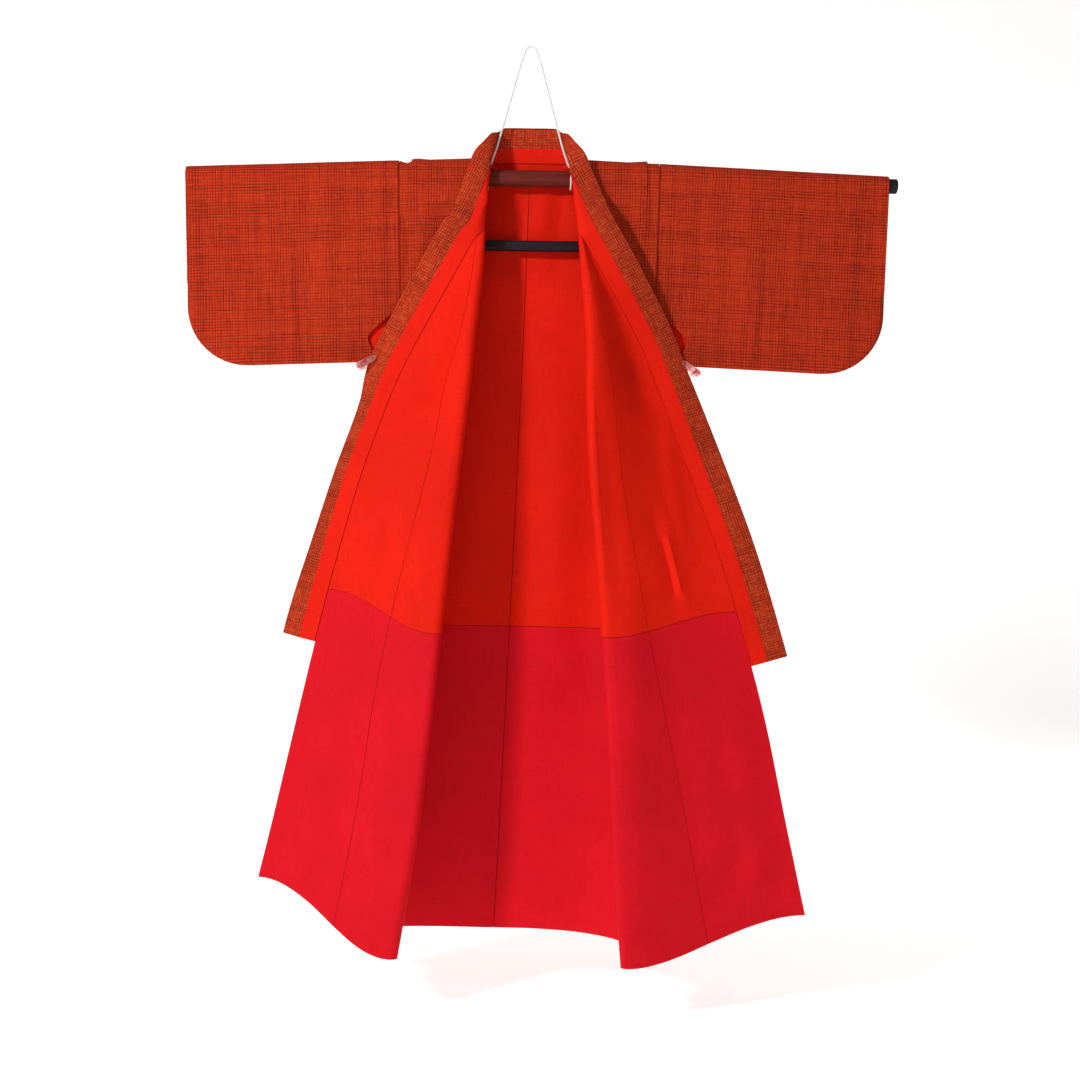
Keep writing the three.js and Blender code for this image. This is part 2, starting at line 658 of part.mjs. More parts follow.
// The middle of the back collar, standing up between the two corners.
function bandBack() {
    const corner = neckLines[0];
    return [-0.5, 0, 0.5].map((t) => {
        const across = -2 * t * backSpan;
        const bottom = vec(corner.seam[0] * across, corner.seam[1], neckTop);
        const top = vec(corner.free[0] * across, corner.free[1], corner.free[2]);
        const points = [bottom, bottom.clone().lerp(top, bandRed / (bandRed + bandCheck)), top];
        return bandAcross(points, vec(1, 0, 0));
    });
}

// All stations from the end of the left band round the neck to the end of the right band.
const band = [...bandStations('left').reverse(), ...bandBack(), ...bandStations('right')];

// The points of a station at fractions between two lengths, moved out by a distance.
function bandRow({ trail, outward }, from, to, reach, fractions) {
    return fractions.map((fraction) => {
        const mark = from + (to - from) * fraction;
        let i = 1;
        while (i < trail.points.length - 1 && trail.lengths[i] < mark) i += 1;
        const t = (mark - trail.lengths[i - 1]) / (trail.lengths[i] - trail.lengths[i - 1]);
        const out = outward[i - 1].clone().lerp(outward[i], THREE.MathUtils.clamp(t, 0, 1)).normalize();
        return trail.at(mark).addScaledVector(out, reach);
    });
}

const thirds = [0, 1 / 3, 2 / 3, 1];

// The checked collar: its outer face, round the free edge and back over the red half.
function eriSheet() {
    const sheet = new Sheet();
    const rows = band.map((station) => {
        const { trail } = station;
        const turned = trail.total - bandCheck + collarGap / 2;
        const last = trail.points.length - 1;
        const across = trail.points[last].clone().sub(trail.points[last - 1]).normalize();
        const tip = trail.points[last].clone().addScaledVector(across, 2 * bandLayer);
        const lower = bandRow(station, collarGap / 2, turned, bandLayer, thirds);
        const upper = bandRow(station, turned, trail.total, bandLayer, thirds);
        const near = bandRow(station, turned, trail.total, -bandLayer, thirds).reverse();
        return [...lower, ...upper.slice(1), tip, ...near];
    });
    sheet.rows(rows, true);
    return sheet;
}

// The red inner collar, between the body and the turned edge.
function uraEriSheet() {
    const sheet = new Sheet();
    sheet.rows(band.map((station) => {
        const turned = station.trail.total - bandCheck - collarGap / 2;
        return bandRow(station, collarGap / 2, turned, -redLayer, thirds);
    }), true);
    return sheet;
}

// Sleeve: front and back of one tube that is open at the body, and at the cuff down to the end of
// the opening.
function sleeveSheet(side) {
    const sheet = new Sheet();
    const sign = sideSign(side);
    const width = sleeveWidth[side];
    const slope = Math.atan(shoulderSlope);
    const place = (along, down) => vec(
        sign * (shoulderX + seamGap + along * Math.cos(slope) - down * armLean),
        0,
        topAt(shoulderX) - along * Math.sin(slope) - down * Math.cos(slope),
    );
    const innerAt = (down, isFront) => {
        const { flare, reach } = isFront ? sleeveInner.front : sleeveInner.back;
        const sewn = topAt(shoulderX) + armSeamDrop;
        const open = flare * THREE.MathUtils.smoothstep(down, sewn, sewn + reach);
        const low = THREE.MathUtils.smoothstep(down, sleeveInner.lowFrom, sleeveHeight);
        return THREE.MathUtils.lerp(open, sleeveInner.low, low);
    };
    const outerAt = (down) => {
        const low = sleeveHeight - sleeveCorner;
        if (down <= low) return width;
        return width - sleeveCorner + Math.sqrt(Math.max(sleeveCorner ** 2 - (down - low) ** 2, 0));
    };
    const downs = [28, 70, 120, cuffOpening, 209, 245, 272, 288, 296, sleeveHeight];
    const columns = [0, 0.3, 0.65, 0.9, 0.98, 1];
    for (const isFront of [true, false]) {
        const arch = [0, 1 / 3, 2 / 3, 1].map((step) => columns.map((t) => {
            const point = place(t * width, 0);
            const axis = rodAxisAt(point.x);
            const angle = (Math.PI / 2) * step;
            const depth = THREE.MathUtils.lerp(armDepth(0), rodEndRadius + sleeveOverRod, Math.min(1.5 * t, 1));
            point.y = depth * Math.sin(angle) * (isFront ? -1 : 1);
            point.z = axis + (point.z - axis) * Math.cos(angle);
            return point;
        }));
        const hanging = downs.map((down) => columns.map((t) => {
            const inner = innerAt(down, isFront);
            const point = place(inner + t * (outerAt(down) - inner), down);
            const sewnEdge = down > cuffOpening ? Math.sqrt(Math.max(1 - t ** 60, 0)) : 1;
            const sewnHem = Math.sqrt(Math.max(1 - (down / sleeveHeight) ** 80, 0));
            const flat = THREE.MathUtils.smoothstep(down, 90, 285);
            const body = THREE.MathUtils.lerp(armDepth(-down), sleeveHemHalf, flat);
            const slack = THREE.MathUtils.smoothstep(down, 20, 230);
            const cuff = THREE.MathUtils.lerp(rodEndRadius + sleeveOverRod, cuffHalf, slack);
            const depth = THREE.MathUtils.lerp(body, cuff, Math.min(1.5 * t, 1)) * sewnEdge * sewnHem;
            point.y = depth * (isFront ? -1 : 1);
            return point;
        }));
        sheet.rows([...arch, ...hanging], (side === 'left') === isFront);
    }
    return sheet;
}

// A closed bar of round rings, from centres and radii.
function ringBar(rings, sides) {
    const positions = [];
    const index = [];
    for (const { x, z, radius } of rings) {
        for (let k = 0; k < sides; k += 1) {
            const angle = (2 * Math.PI * k) / sides;
            positions.push(x, radius * Math.cos(angle), z + radius * Math.sin(angle));
        }
    }
    for (let i = 1; i < rings.length; i += 1) {
        for (let k = 0; k < sides; k += 1) {
            const a = (i - 1) * sides + k;
            const b = (i - 1) * sides + ((k + 1) % sides);
            index.push(a, b, b + sides, a, b + sides, a + sides);
        }
    }
    const last = (rings.length - 1) * sides;
    for (let k = 1; k < sides - 1; k += 1) {
        index.push(0, k + 1, k);
        index.push(last, last + k, last + k + 1);
    }
    const geometry = new THREE.BufferGeometry();
    geometry.setAttribute('position', new THREE.Float32BufferAttribute(positions, 3));
    geometry.setIndex(index);
    return geometry;
}

function rodRadiusAt(x) {
    const middle = (rodLeft + rodRight) / 2;
    const t = Math.abs(x - middle) / (rodRight - middle);
    return THREE.MathUtils.lerp(rodMiddleRadius, rodEndRadius, t);
}

function rodRings(from, to, steps, radiusAt) {
    return Array.from({ length: steps + 1 }, (_, i) => {
        const x = THREE.MathUtils.lerp(from, to, i / steps);
        return { x, z: rodAxisAt(x), radius: radiusAt(x) };
    });
}

// The cap's rim is flush with the rod and its end is domed.
function capRings(end) {
    const inward = end < 0 ? 1 : -1;
    const rings = capProfile.map(({ depth, shrink }) => {
        const x = end + inward * depth;
        return { x, z: rodAxisAt(x), radius: rodEndRadius - shrink };
    });
    return inward < 0 ? rings : rings.reverse();
}

// The hanging cord: nearly once round the rod at each side, and over the hook between them.
function cordCurve() {
    const wrap = rodMiddleRadius + cordRadius + 3 * seamGap;
    const points = [];
    const knot = (sign, reverse) => {
        const turn = [];
        for (let i = 0; i <= cordSteps; i += 1) {
            const left = 1 - i / cordSteps;
            const angle = Math.PI / 2 - cordTurn * left;
            const along = cordSpread - cordPitch * left;
            turn.push(vec(sign * along, -Math.cos(angle) * wrap, Math.sin(angle) * wrap));
        }
        turn.push(vec(sign * (cordSpread - cordLean), 0.5, wrap + 9));
        return reverse ? turn.reverse() : turn;
    };
    points.push(...knot(-1, false));
    for (let i = 0; i <= 4; i += 1) {
        const angle = Math.PI * (0.9 - (0.8 * i) / 4);
        const z = cordRise - hookRadius + hookRadius * Math.sin(angle);
        points.push(vec(hookRadius * Math.cos(angle), 0, z));
    }
    points.push(...knot(1, true));
    return new THREE.CatmullRomCurve3(points, false, 'centripetal');
}

function cordSection() {
    const shape = new THREE.Shape();
    const sides = 8;
    for (let k = 0; k < sides; k += 1) {
        const angle = (2 * Math.PI * k) / sides;
        const x = cordRadius * Math.cos(angle);
        const y = cordRadius * Math.sin(angle);
        if (k === 0) shape.moveTo(x, y);
        else shape.lineTo(x, y);
    }
    return shape;
}

// One lever of a clip: a flat jaw on the cloth and a tail that stands off.
function clipLever(clip, isFront) {
    const y = isFront ? clip.front : clip.back;
    const out = isFront ? -1 : 1;
    const half = clipLength / 2;
    const shape = new THREE.Shape();
    shape.moveTo(half, y);
    shape.lineTo(0, y + out * clipStandOff);
    shape.lineTo(-half, y + out * clipSpread);
    shape.lineTo(-half, y + out * (clipSpread + clipPlate));
    shape.lineTo(0, y + out * (clipStandOff + clipPlate + 1));
    shape.lineTo(half, y + out * clipPlate);
    shape.closePath();
    const geometry = new THREE.ExtrudeGeometry(shape, { depth: clipWidth, bevelEnabled: false });
    geometry.translate(0, 0, -clipWidth / 2);
    return geometry;
}

const kimono = new THREE.Group();
kimono.position.z = -cordRise;

function addPart(name, geometry, color, roughness, metalness = 0) {
    const material = new THREE.MeshStandardMaterial({ color, roughness, metalness });
    const mesh = new THREE.Mesh(geometry, material);
    mesh.name = name;
    kimono.add(mesh);
    return mesh;
}

for (const side of ['left', 'right']) {
    const half = halfSheet(side);
    const cut = (range, end) => half.wall(range, (piece) => piece.endsWith(end));
    addPart(`migoro_${side}`, cut(outerWall, 'body'), check, 0.85);
    addPart(`okumi_${side}`, cut(outerWall, 'overlap'), check, 0.85);
    addPart(`doura_${side}`, cut(liningWall, 'doura body'), red, 0.75);
    addPart(`doura_okumi_${side}`, cut(liningWall, 'doura overlap'), red, 0.75);
    addPart(`hakkake_${side}`, cut(liningWall, 'hakkake body'), crimson, 0.75);
    addPart(`hakkake_okumi_${side}`, cut(liningWall, 'hakkake overlap'), crimson, 0.75);
    const sleeve = sleeveSheet(side);
    addPart(`sleeve_${side}`, sleeve.wall(outerWall), check, 0.85);
    addPart(`sleeve_lining_${side}`, sleeve.wall(liningWall), red, 0.75);

    const sign = sideSign(side);
    const end = side === 'left' ? rodLeft : rodRight;
    addPart(`rod_cap_${side}`, ringBar(capRings(end), 20), 0x141214, 0.35);
    const strut = new THREE.BoxGeometry(strutSide, strutSide, barDrop - rodMiddleRadius - barRadius - 1.2);
    strut.translate(sign * strutX, 0, (-rodMiddleRadius - barDrop + barRadius) / 2);
    addPart(`strut_${side}`, strut, 0x1a1919, 0.4);

    const clip = clips[side];
    const angle = THREE.MathUtils.degToRad(clip.angle);
    for (const isFront of [true, false]) {
        const lever = clipLever(clip, isFront);
        const mesh = addPart(`clip_${isFront ? 'front' : 'back'}_${side}`, lever, 0xd9cfcf, 0.25);
        mesh.position.set(clip.x, 0, clip.z);
        mesh.rotation.y = -angle;
    }
    const spring = new THREE.CylinderGeometry(2.4, 2.4, clip.back - clip.front + 2 * springReach, 16);
    spring.translate(-springAt, (clip.front + clip.back) / 2, 0);
    const pin = addPart(`clip_spring_${side}`, spring, 0x55585c, 0.35, 0.9);
    pin.position.set(clip.x, 0, clip.z);
    pin.rotation.y = -angle;
}

addPart('eri', eriSheet().wall(bandWall), check, 0.85);
addPart('ura_eri', uraEriSheet().wall(bandWall), red, 0.75);

const rodFrom = rodLeft + capLength + seamGap;
const rodTo = rodRight - capLength - seamGap;
addPart('rod', ringBar(rodRings(rodFrom, rodTo, 12, rodRadiusAt), 20), 0x6b2a20, 0.45);
const barRings = [-1, 1].map((sign) => ({ x: sign * barHalfLength, z: -barDrop, radius: barRadius }));
addPart('lower_bar', ringBar(barRings, 20), 0x161515, 0.4);
const cord = new THREE.ExtrudeGeometry(cordSection(), {
    steps: 64,
    bevelEnabled: false,
    extrudePath: cordCurve(),
});
addPart('hanging_cord', cord, 0xf4f2ee, 0.8);

export default kimono;
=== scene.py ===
import math

import bpy
import numpy as np
from mathutils import Matrix, Vector


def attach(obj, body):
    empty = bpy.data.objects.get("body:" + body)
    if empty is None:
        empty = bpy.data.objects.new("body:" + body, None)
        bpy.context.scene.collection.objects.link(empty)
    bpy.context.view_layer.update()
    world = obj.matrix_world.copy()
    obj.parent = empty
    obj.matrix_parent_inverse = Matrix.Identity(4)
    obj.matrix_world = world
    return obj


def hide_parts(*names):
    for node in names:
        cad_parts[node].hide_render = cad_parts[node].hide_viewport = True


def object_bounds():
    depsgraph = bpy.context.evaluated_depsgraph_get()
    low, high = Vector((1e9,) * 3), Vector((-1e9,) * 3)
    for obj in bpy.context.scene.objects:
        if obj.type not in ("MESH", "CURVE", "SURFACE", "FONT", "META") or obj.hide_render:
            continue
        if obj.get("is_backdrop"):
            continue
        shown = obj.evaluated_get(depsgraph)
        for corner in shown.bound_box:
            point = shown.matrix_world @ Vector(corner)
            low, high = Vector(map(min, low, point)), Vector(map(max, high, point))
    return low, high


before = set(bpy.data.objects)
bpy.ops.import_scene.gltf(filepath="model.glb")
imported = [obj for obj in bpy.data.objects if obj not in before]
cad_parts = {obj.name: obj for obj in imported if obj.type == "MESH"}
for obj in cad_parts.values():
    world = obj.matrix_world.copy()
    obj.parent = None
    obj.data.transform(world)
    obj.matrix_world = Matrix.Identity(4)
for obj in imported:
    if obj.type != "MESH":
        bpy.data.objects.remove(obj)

# %% [markdown]
# # A lined kimono of checked cloth on its hanging rod
# The garment hangs on a brown rod that runs through both sleeves. Both fronts are turned open and
# clipped to the lower corners of the sleeves, so the red lining faces the viewer. It could be draped by
# simulation, but the way it hangs is held in place by clips and folds, so each sheet of cloth is shaped
# from named sections instead, and the creases are laid on it one by one.
# Lengths below are millimetres with the rod's axis at height 0. The last step to the scene is metres,
# with the origin at the hook.

# %% Frame, camera and light
cad_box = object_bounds()
scene = bpy.context.scene
CORD_RISE = 198


def metres(point):
    """A point of the rod's frame in millimetres, as a place in the scene."""
    return Vector((point[0], point[1], point[2] - CORD_RISE)) / 1000


camera = bpy.data.objects.new("camera", bpy.data.cameras.new("camera"))
scene.collection.objects.link(camera)
scene.camera = camera
LENS, SENSOR = 54.44, 36
CAMERA_PLACE, CAMERA_ROLL = (0.0235, -2.450, -0.7395), math.radians(-0.8)
camera.data.lens, camera.data.sensor_width = LENS, SENSOR
upright = Matrix.Rotation(math.radians(90), 4, "X")
camera.matrix_world = Matrix.Translation(CAMERA_PLACE) @ Matrix.Rotation(CAMERA_ROLL, 4, "Y") @ upright

scene.view_settings.view_transform = "Standard"
world = bpy.data.worlds.new("room")
scene.world = world
world.use_nodes = True
world.node_tree.nodes["Background"].inputs["Color"].default_value = (1.0, 0.985, 0.97, 1)
world.node_tree.nodes["Background"].inputs["Strength"].default_value = 0.12


def lamp(name, place, target, size, power):
    """A soft rectangular light that faces a point."""
    data = bpy.data.lights.new(name, "AREA")
    data.shape = "RECTANGLE"
    data.size, data.size_y = size
    data.energy = power
    thing = bpy.data.objects.new(name, data)
    thing.location = place
    thing.rotation_euler = (Vector(target) - Vector(place)).to_track_quat("-Z", "Y").to_euler()
    scene.collection.objects.link(thing)


lamp("key", (-2.1, -2.5, 0.6), (0, 0, -0.75), (0.36, 0.36), 80)
lamp("fill", (1.2, -2.6, -0.6), (0, 0, -0.8), (1.6, 2.0), 4)
lamp("top", (0.0, -0.6, 1.2), (0, 0, -0.5), (1.8, 1.0), 6)
lamp("rear", (0.8, 2.4, 0.6), (0, 0, -0.7), (1.6, 1.6), 18)
print("camera at", tuple(round(v, 3) for v in camera.location))

# %% [markdown]
# ## Hanging cord
# A limp white cord is tied round the rod on each side of the neck and goes over a hook. Its route is
# settled first: nearly a full turn at each side, then straight up to a small bend over the hook.

# %% Hanging cord
ROD_MIDDLE_RADIUS = 12.5
CORD_RADIUS = 1.5
CORD_SPREAD = 63
CORD_LEAN = 6
HOOK_RADIUS = 9
CORD_TURN = 1.8 * math.pi
CORD_PITCH = 1.5
CORD_STEPS = 9


def smooth_line(points, steps):
    """A smooth curve through the points, with spacing that follows their distances."""
    points = [np.array(p, float) for p in points]
    ends = [2 * points[0] - points[1], *points, 2 * points[-1] - points[-2]]
    line = []
    for p0, p1, p2, p3 in zip(ends, ends[1:], ends[2:], ends[3:]):
        d0, d1, d2 = (max(np.linalg.norm(b - a) ** 0.5, 1e-4) for a, b in ((p0, p1), (p1, p2), (p2, p3)))
        t1 = ((p1 - p0) / d0 - (p2 - p0) / (d0 + d1) + (p2 - p1) / d1) * d1
        t2 = ((p2 - p1) / d1 - (p3 - p1) / (d1 + d2) + (p3 - p2) / d2) * d1
        for i in range(steps):
            t = i / steps
            a, b, c, d = 2 * t**3 - 3 * t**2 + 1, t**3 - 2 * t**2 + t, 3 * t**2 - 2 * t**3, t**3 - t**2
            line.append(a * p1 + b * t1 + c * p2 + d * t2)
    return [*line, points[-1]]


def cord_route():
    """Points of the cord from its left end to its right end."""
    wrap = ROD_MIDDLE_RADIUS + CORD_RADIUS + 0.9

    def knot(sign):
        turn = []
        for i in range(CORD_STEPS + 1):
            left = 1 - i / CORD_STEPS
            angle = math.pi / 2 - CORD_TURN * left
            along = CORD_SPREAD - CORD_PITCH * left
            turn.append((sign * along, -math.cos(angle) * wrap, math.sin(angle) * wrap))
        return [*turn, (sign * (CORD_SPREAD - CORD_LEAN), 0.5, wrap + 9)]

    bend = []
    for i in range(5):
        angle = math.pi * (0.9 - 0.8 * i / 4)
        height = CORD_RISE - HOOK_RADIUS + HOOK_RADIUS * math.sin(angle)
        bend.append((HOOK_RADIUS * math.cos(angle), 0, height))
    return smooth_line([*knot(-1), *bend, *knot(1)[::-1]], 5)


def pick(thing):
    """Selects one piece alone, ready for the operators that follow."""
    bpy.ops.object.select_all(action="DESELECT")
    bpy.context.view_layer.objects.active = thing
    thing.select_set(True)


def tube(name, points, radii, sides):
    """A round bar or cord along points: a curve with a round section, then made a mesh."""
    data = bpy.data.curves.new(name, "CURVE")
    data.dimensions = "3D"
    data.bevel_depth = max(radii) / 1000
    data.bevel_resolution = sides // 4
    data.use_fill_caps = True
    spline = data.splines.new("POLY")
    spline.points.add(len(points) - 1)
    for knot, point, radius in zip(spline.points, points, radii):
        knot.co = (*metres(point), 1)
        knot.radius = radius / max(radii)
    thing = bpy.data.objects.new(name, data)
    scene.collection.objects.link(thing)
    pick(thing)
    bpy.ops.object.convert(target="MESH")
    bpy.ops.object.shade_smooth_by_angle(angle=math.radians(40))
    return thing


route = cord_route()
cord = tube("cord", route, [CORD_RADIUS] * len(route), sides=12)
cord_length = sum(np.linalg.norm(b - a) for a, b in zip(route, route[1:])) / 1000
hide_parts("hanging_cord")
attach(cord, "root")
metres(route[0])
[metres(point) for point in route]
print("cord length", round(cord_length, 3))

# %% [markdown]
# ## Measured lines of the garment
# The cloth's form is set by a few lines that can be measured: the side, the fold that opens each
# front, and the free edge. One table row is one height.

# %% Tables
FRONT_NAMES = ("z", "side_x", "side_y", "crest_x", "crest_y", "edge_x", "edge_y", "okumi", "turn")
FRONT_ROWS = {
    "left": (
        (-75, -193, -14, -64, -44, -66, -46, -13, 12),
        (-150, -192, -13, -67, -55, -107, -46, 26, 14),
        (-250, -197, -12, -76, -68, -164, -25, 71, 20),
        (-300, -203, -7, -80, -74, -189, -22, 84, 26),
        (-350, -213, -14, -85, -80, -207, -33, 93, 48),
        (-450, -226, -25, -95, -92, -240, -52, 102, 50),
        (-560, -234, -34, -106, -103, -270, -60, 106, 43),
        (-670, -240, -42, -116, -112, -297, -66, 109, 30),
        (-800, -247, -49, -128, -122, -326, -72, 115, 30),
        (-950, -253, -56, -143, -132, -359, -76, 129, 30),
        (-1140, -257, -62, -172, -141, -403, -80, 140, 30),
    ),
    "right": (
        (-75, 193, -14, 73, -50, 66, -54, -15, 8),
        (-150, 191, -13, 79, -64, 111, -49, 26, 10),
        (-250, 197, -12, 87, -80, 168, -27, 74, 18),
        (-300, 203, -7, 88, -88, 189, -22, 87, 22),
        (-350, 208, -16, 89, -96, 208, -33, 96, 20),
        (-450, 211, -32, 94, -110, 244, -58, 111, 14),
        (-560, 208, -45, 104, -124, 284, -72, 128, 12),
        (-670, 203, -56, 113, -136, 318, -82, 141, 12),
        (-800, 195, -68, 122, -148, 353, -90, 149, 12),
        (-950, 185, -82, 130, -160, 385, -95, 150, 12),
        (-1140, 170, -94, 146, -170, 427, -99, 154, 12),
    ),
}
FRONT = {side: {name: np.array([row[i] for row in rows], float) for i, name in enumerate(FRONT_NAMES)}
         for side, rows in FRONT_ROWS.items()}
FALL = {"left": {"side": 0.997, "crest": 1.008, "edge": 0.919},
        "right": {"side": 1.006, "crest": 1.009, "edge": 0.955}}
# The collar beside the neck: seam on the body, fold and free edge.
NECK = (
    ((-48, 20, 27), (-40, 19, 77), (-39.5, 19, 78)),
    ((-56, 17, 27), (-46, 12, 69.5), (-46.5, 11.5, 70.5)),
    ((-63, 9, 28), (-50, 0, 65), (-51, -1.5, 66.5)),
    ((-69, 1, 28), (-48.5, -9, 58.5), (-56, -12, 63)),
    ((-70, -6, 24), (-50.5, -17, 44), (-65.5, -20.5, 50.5)),
    ((-69, -13, 12), (-54, -25, 24), (-79.5, -28, 33)),
    ((-66, -20, -14), (-60, -33, -16), (-89, -30, 6)),
    ((-64, -31, -42), (-60.5, -38, -40), (-99, -31, -23)),
)
NECK_SHOULDER_ROW = 3
RIGHT_SPREAD = 0.1
HEM_DROP, LINING_SEAM_DROP, UNDERARM_DROP, ARM_SEAM_DROP = 1127, 672, 300, 187
SHOULDER_X, NECK_TOP = 195, 27
BACK_DEPTH, BACK_LEAN, BACK_LEAN_DROP = 20, 5, 400
CENTRE_SWING, CENTRE_BEND = 38.5, 1.2
ARM_DEPTH_TOP, ARM_DEPTH_SLOPE, ARM_LEAN = 16.5, 0.019, 0.023
SHOULDER_SLOPE, SHOULDER_TOP, SHOULDER_NECK_X = 0.0419, 28.6, 79
TUCK_X, TUCK_LENGTH, TUCK_WIDTH, TUCK_RISE = 176, 175, 27, 3
SEAM_GAP, COLLAR_GAP, NECK_GAP, FRONT_NECK_GAP = 0.7, 0.4, 3.0, 2.55
BAND_RED, BAND_CHECK, BAND_LAYER, RED_LAYER = 24, 29, 1.25, 2.05
BAND_END = {"left": -694, "right": -720}
NECK_BEND, BACK_SPAN = 9, 0.6
SLEEVE_HEIGHT, SLEEVE_CORNER, CUFF_OPENING = 299, 90, 168
SLEEVE_WIDTH = {"left": 318, "right": 342}
ROD_LEFT, ROD_RIGHT, ROD_END_RADIUS, ROD_SAG = -506, 552, 11, 4
FOLD_TOP, FOLD_FULL, FOLD_GROWTH, FOLD_LEAN = 2.5, 9, 14, math.radians(14)
OKUMI_TIP, OKUMI_POINT = 90, 0.75
FIRST_FRONT, SECOND_FRONT = 84, 104
print("rows of the front table", len(FRONT_ROWS["left"]), "and of the collar table", len(NECK))


def sign_of(side):
    """The left half lies at negative x, the right half at positive x."""
    return -1 if side == "left" else 1


def column(side, name, z):
    """Smooth value of a column of the front table at a height."""
    heights, values = FRONT[side]["z"], FRONT[side][name]
    last = len(heights) - 1
    i = int(np.clip(np.searchsorted(-heights, -z) - 1, 0, last - 1))
    span = heights[i + 1] - heights[i]
    t = min(max((z - heights[i]) / span, 0), 1)
    rise = values[i + 1] - values[i]

    def slope(a, b):
        return (values[b] - values[a]) / (heights[b] - heights[a])

    leave = slope(max(i - 1, 0), i + 1) * span - rise
    arrive = slope(i, min(i + 2, last)) * span - rise
    return values[i] + rise * t + t * (1 - t) * ((1 - t) * leave - t * arrive)


def vec(x, y, z):
    return np.array((x, y, z), float)


def unit(v):
    return v / max(np.linalg.norm(v), 1e-9)


def soft(value, low, high):
    """Rises smoothly from 0 at low to 1 at high."""
    t = np.clip((value - low) / (high - low), 0, 1)
    return t * t * (3 - 2 * t)


def mix(a, b, t):
    """The value at a share t of the way from a to b."""
    return a + (b - a) * t


def bezier(start, first, second, end, steps):
    """A curve from start to end that leaves and arrives along its two inner points."""
    t = np.linspace(0, 1, steps + 1)[:, None]
    return ((1 - t) ** 3 * start + 3 * (1 - t) ** 2 * t * first + 3 * (1 - t) * t**2 * second + t**3 * end)


class Trail:
    """A line of points that gives the points at lengths along it."""

    def __init__(self, points):
        self.points = np.array(points, float)
        steps = np.linalg.norm(np.diff(self.points, axis=0), axis=1)
        self.lengths = np.concatenate([[0], np.cumsum(steps)])
        self.total = self.lengths[-1]

    def at(self, marks):
        marks = np.clip(np.atleast_1d(np.array(marks, float)), 0, self.total)
        return np.stack([np.interp(marks, self.lengths, self.points[:, k]) for k in range(3)], axis=1)


# %% [markdown]
# ## Lines of the body
# A half of the body is one length of cloth, front and back in one, with no shoulder seam. The back
# hangs behind the rod. The front comes forward from the side seam, turns over the crest fold and lies
# open with its lining to the viewer, out to the overlap panel and the collar.

# %% Lines of the body
BEHIND_STEPS, ROUND_STEPS, OPEN_STEPS = 28, 16, 36


def top_at(x):
    """Height of the cloth's ridge over the rod, which falls away from the neck."""
    return SHOULDER_TOP - SHOULDER_SLOPE * max(abs(x) - SHOULDER_NECK_X, 0)


def rod_axis(x):
    """Height of the sagging rod at a place along it."""
    middle = (ROD_LEFT + ROD_RIGHT) / 2
    return -ROD_SAG * ((x - middle) / (ROD_RIGHT - middle)) ** 2


def centre_x(z):
    """The centre back seam swings a little to the left on its way down."""
    return -CENTRE_SWING * (max(-z, 0) / HEM_DROP) ** CENTRE_BEND


def arm_depth(z):
    """How far the cloth stands before and behind the rod at the sleeve seam."""
    return ARM_DEPTH_TOP + ARM_DEPTH_SLOPE * max(min(z, 0), -ARM_SEAM_DROP)


def side_line(side, drop, is_back):
    """The side of the body: sewn to the sleeve, then open, then the side seam."""
    z = -drop * FALL[side]["side"]
    if drop >= UNDERARM_DROP:
        return vec(column(side, "side_x", z), column(side, "side_y", z), z)
    opened = soft(-z, ARM_SEAM_DROP, UNDERARM_DROP)
    sewn_x = sign_of(side) * (SHOULDER_X - ARM_LEAN * (top_at(SHOULDER_X) - z))
    x = mix(sewn_x, column(side, "side_x", -UNDERARM_DROP), opened)
    depth = arm_depth(z) * (1 if is_back else -1)
    return vec(x, mix(depth, column(side, "side_y", -UNDERARM_DROP), opened), z)


def edge_line(side, drop):
    """The free edge of an open front, where the collar is sewn on."""
    z = -drop * FALL[side]["edge"]
    return vec(column(side, "edge_x", z), column(side, "edge_y", z), z)


def tuck_lift(x, drop):
    """The shoulder tuck lifts the cloth beside its stitched line."""
    behind = TUCK_X - abs(x)
    if drop > TUCK_LENGTH or behind < 0 or behind > TUCK_WIDTH:
        return 0
    return TUCK_RISE * (1 - behind / TUCK_WIDTH) * min(1, (TUCK_LENGTH - drop) / 30)


def back_trail(side, drop):
    """Cloth of the back at one height, from the centre seam to the side."""
    end = side_line(side, drop, True)
    depth = BACK_DEPTH - BACK_LEAN * min(drop / BACK_LEAN_DROP, 1)
    start = vec(centre_x(-drop) + sign_of(side) * SEAM_GAP / 2, depth, -drop)
    reach = end[0] - start[0]
    first = vec(start[0] + 0.45 * reach, depth + 5, -drop)
    second = vec(start[0] + (0.8 if drop < UNDERARM_DROP else 0.96) * reach, max(depth, end[1]), end[2])
    return Trail(bezier(start, first, second, end, 40))


def band_directions(side, drop):
    """Along the edge, and across the inner and the outer part of the collar that turns there."""
    sign = sign_of(side)
    along = unit(edge_line(side, drop + 4) - edge_line(side, drop - 4))
    turn = math.radians(column(side, "turn", edge_line(side, drop)[2]))
    flat = unit(np.cross(along, vec(0, sign, 0)))

    def lean(angle):
        return flat * math.cos(angle) + vec(0, math.sin(angle), 0)

    return along, lean(0.35 * turn), lean(turn)


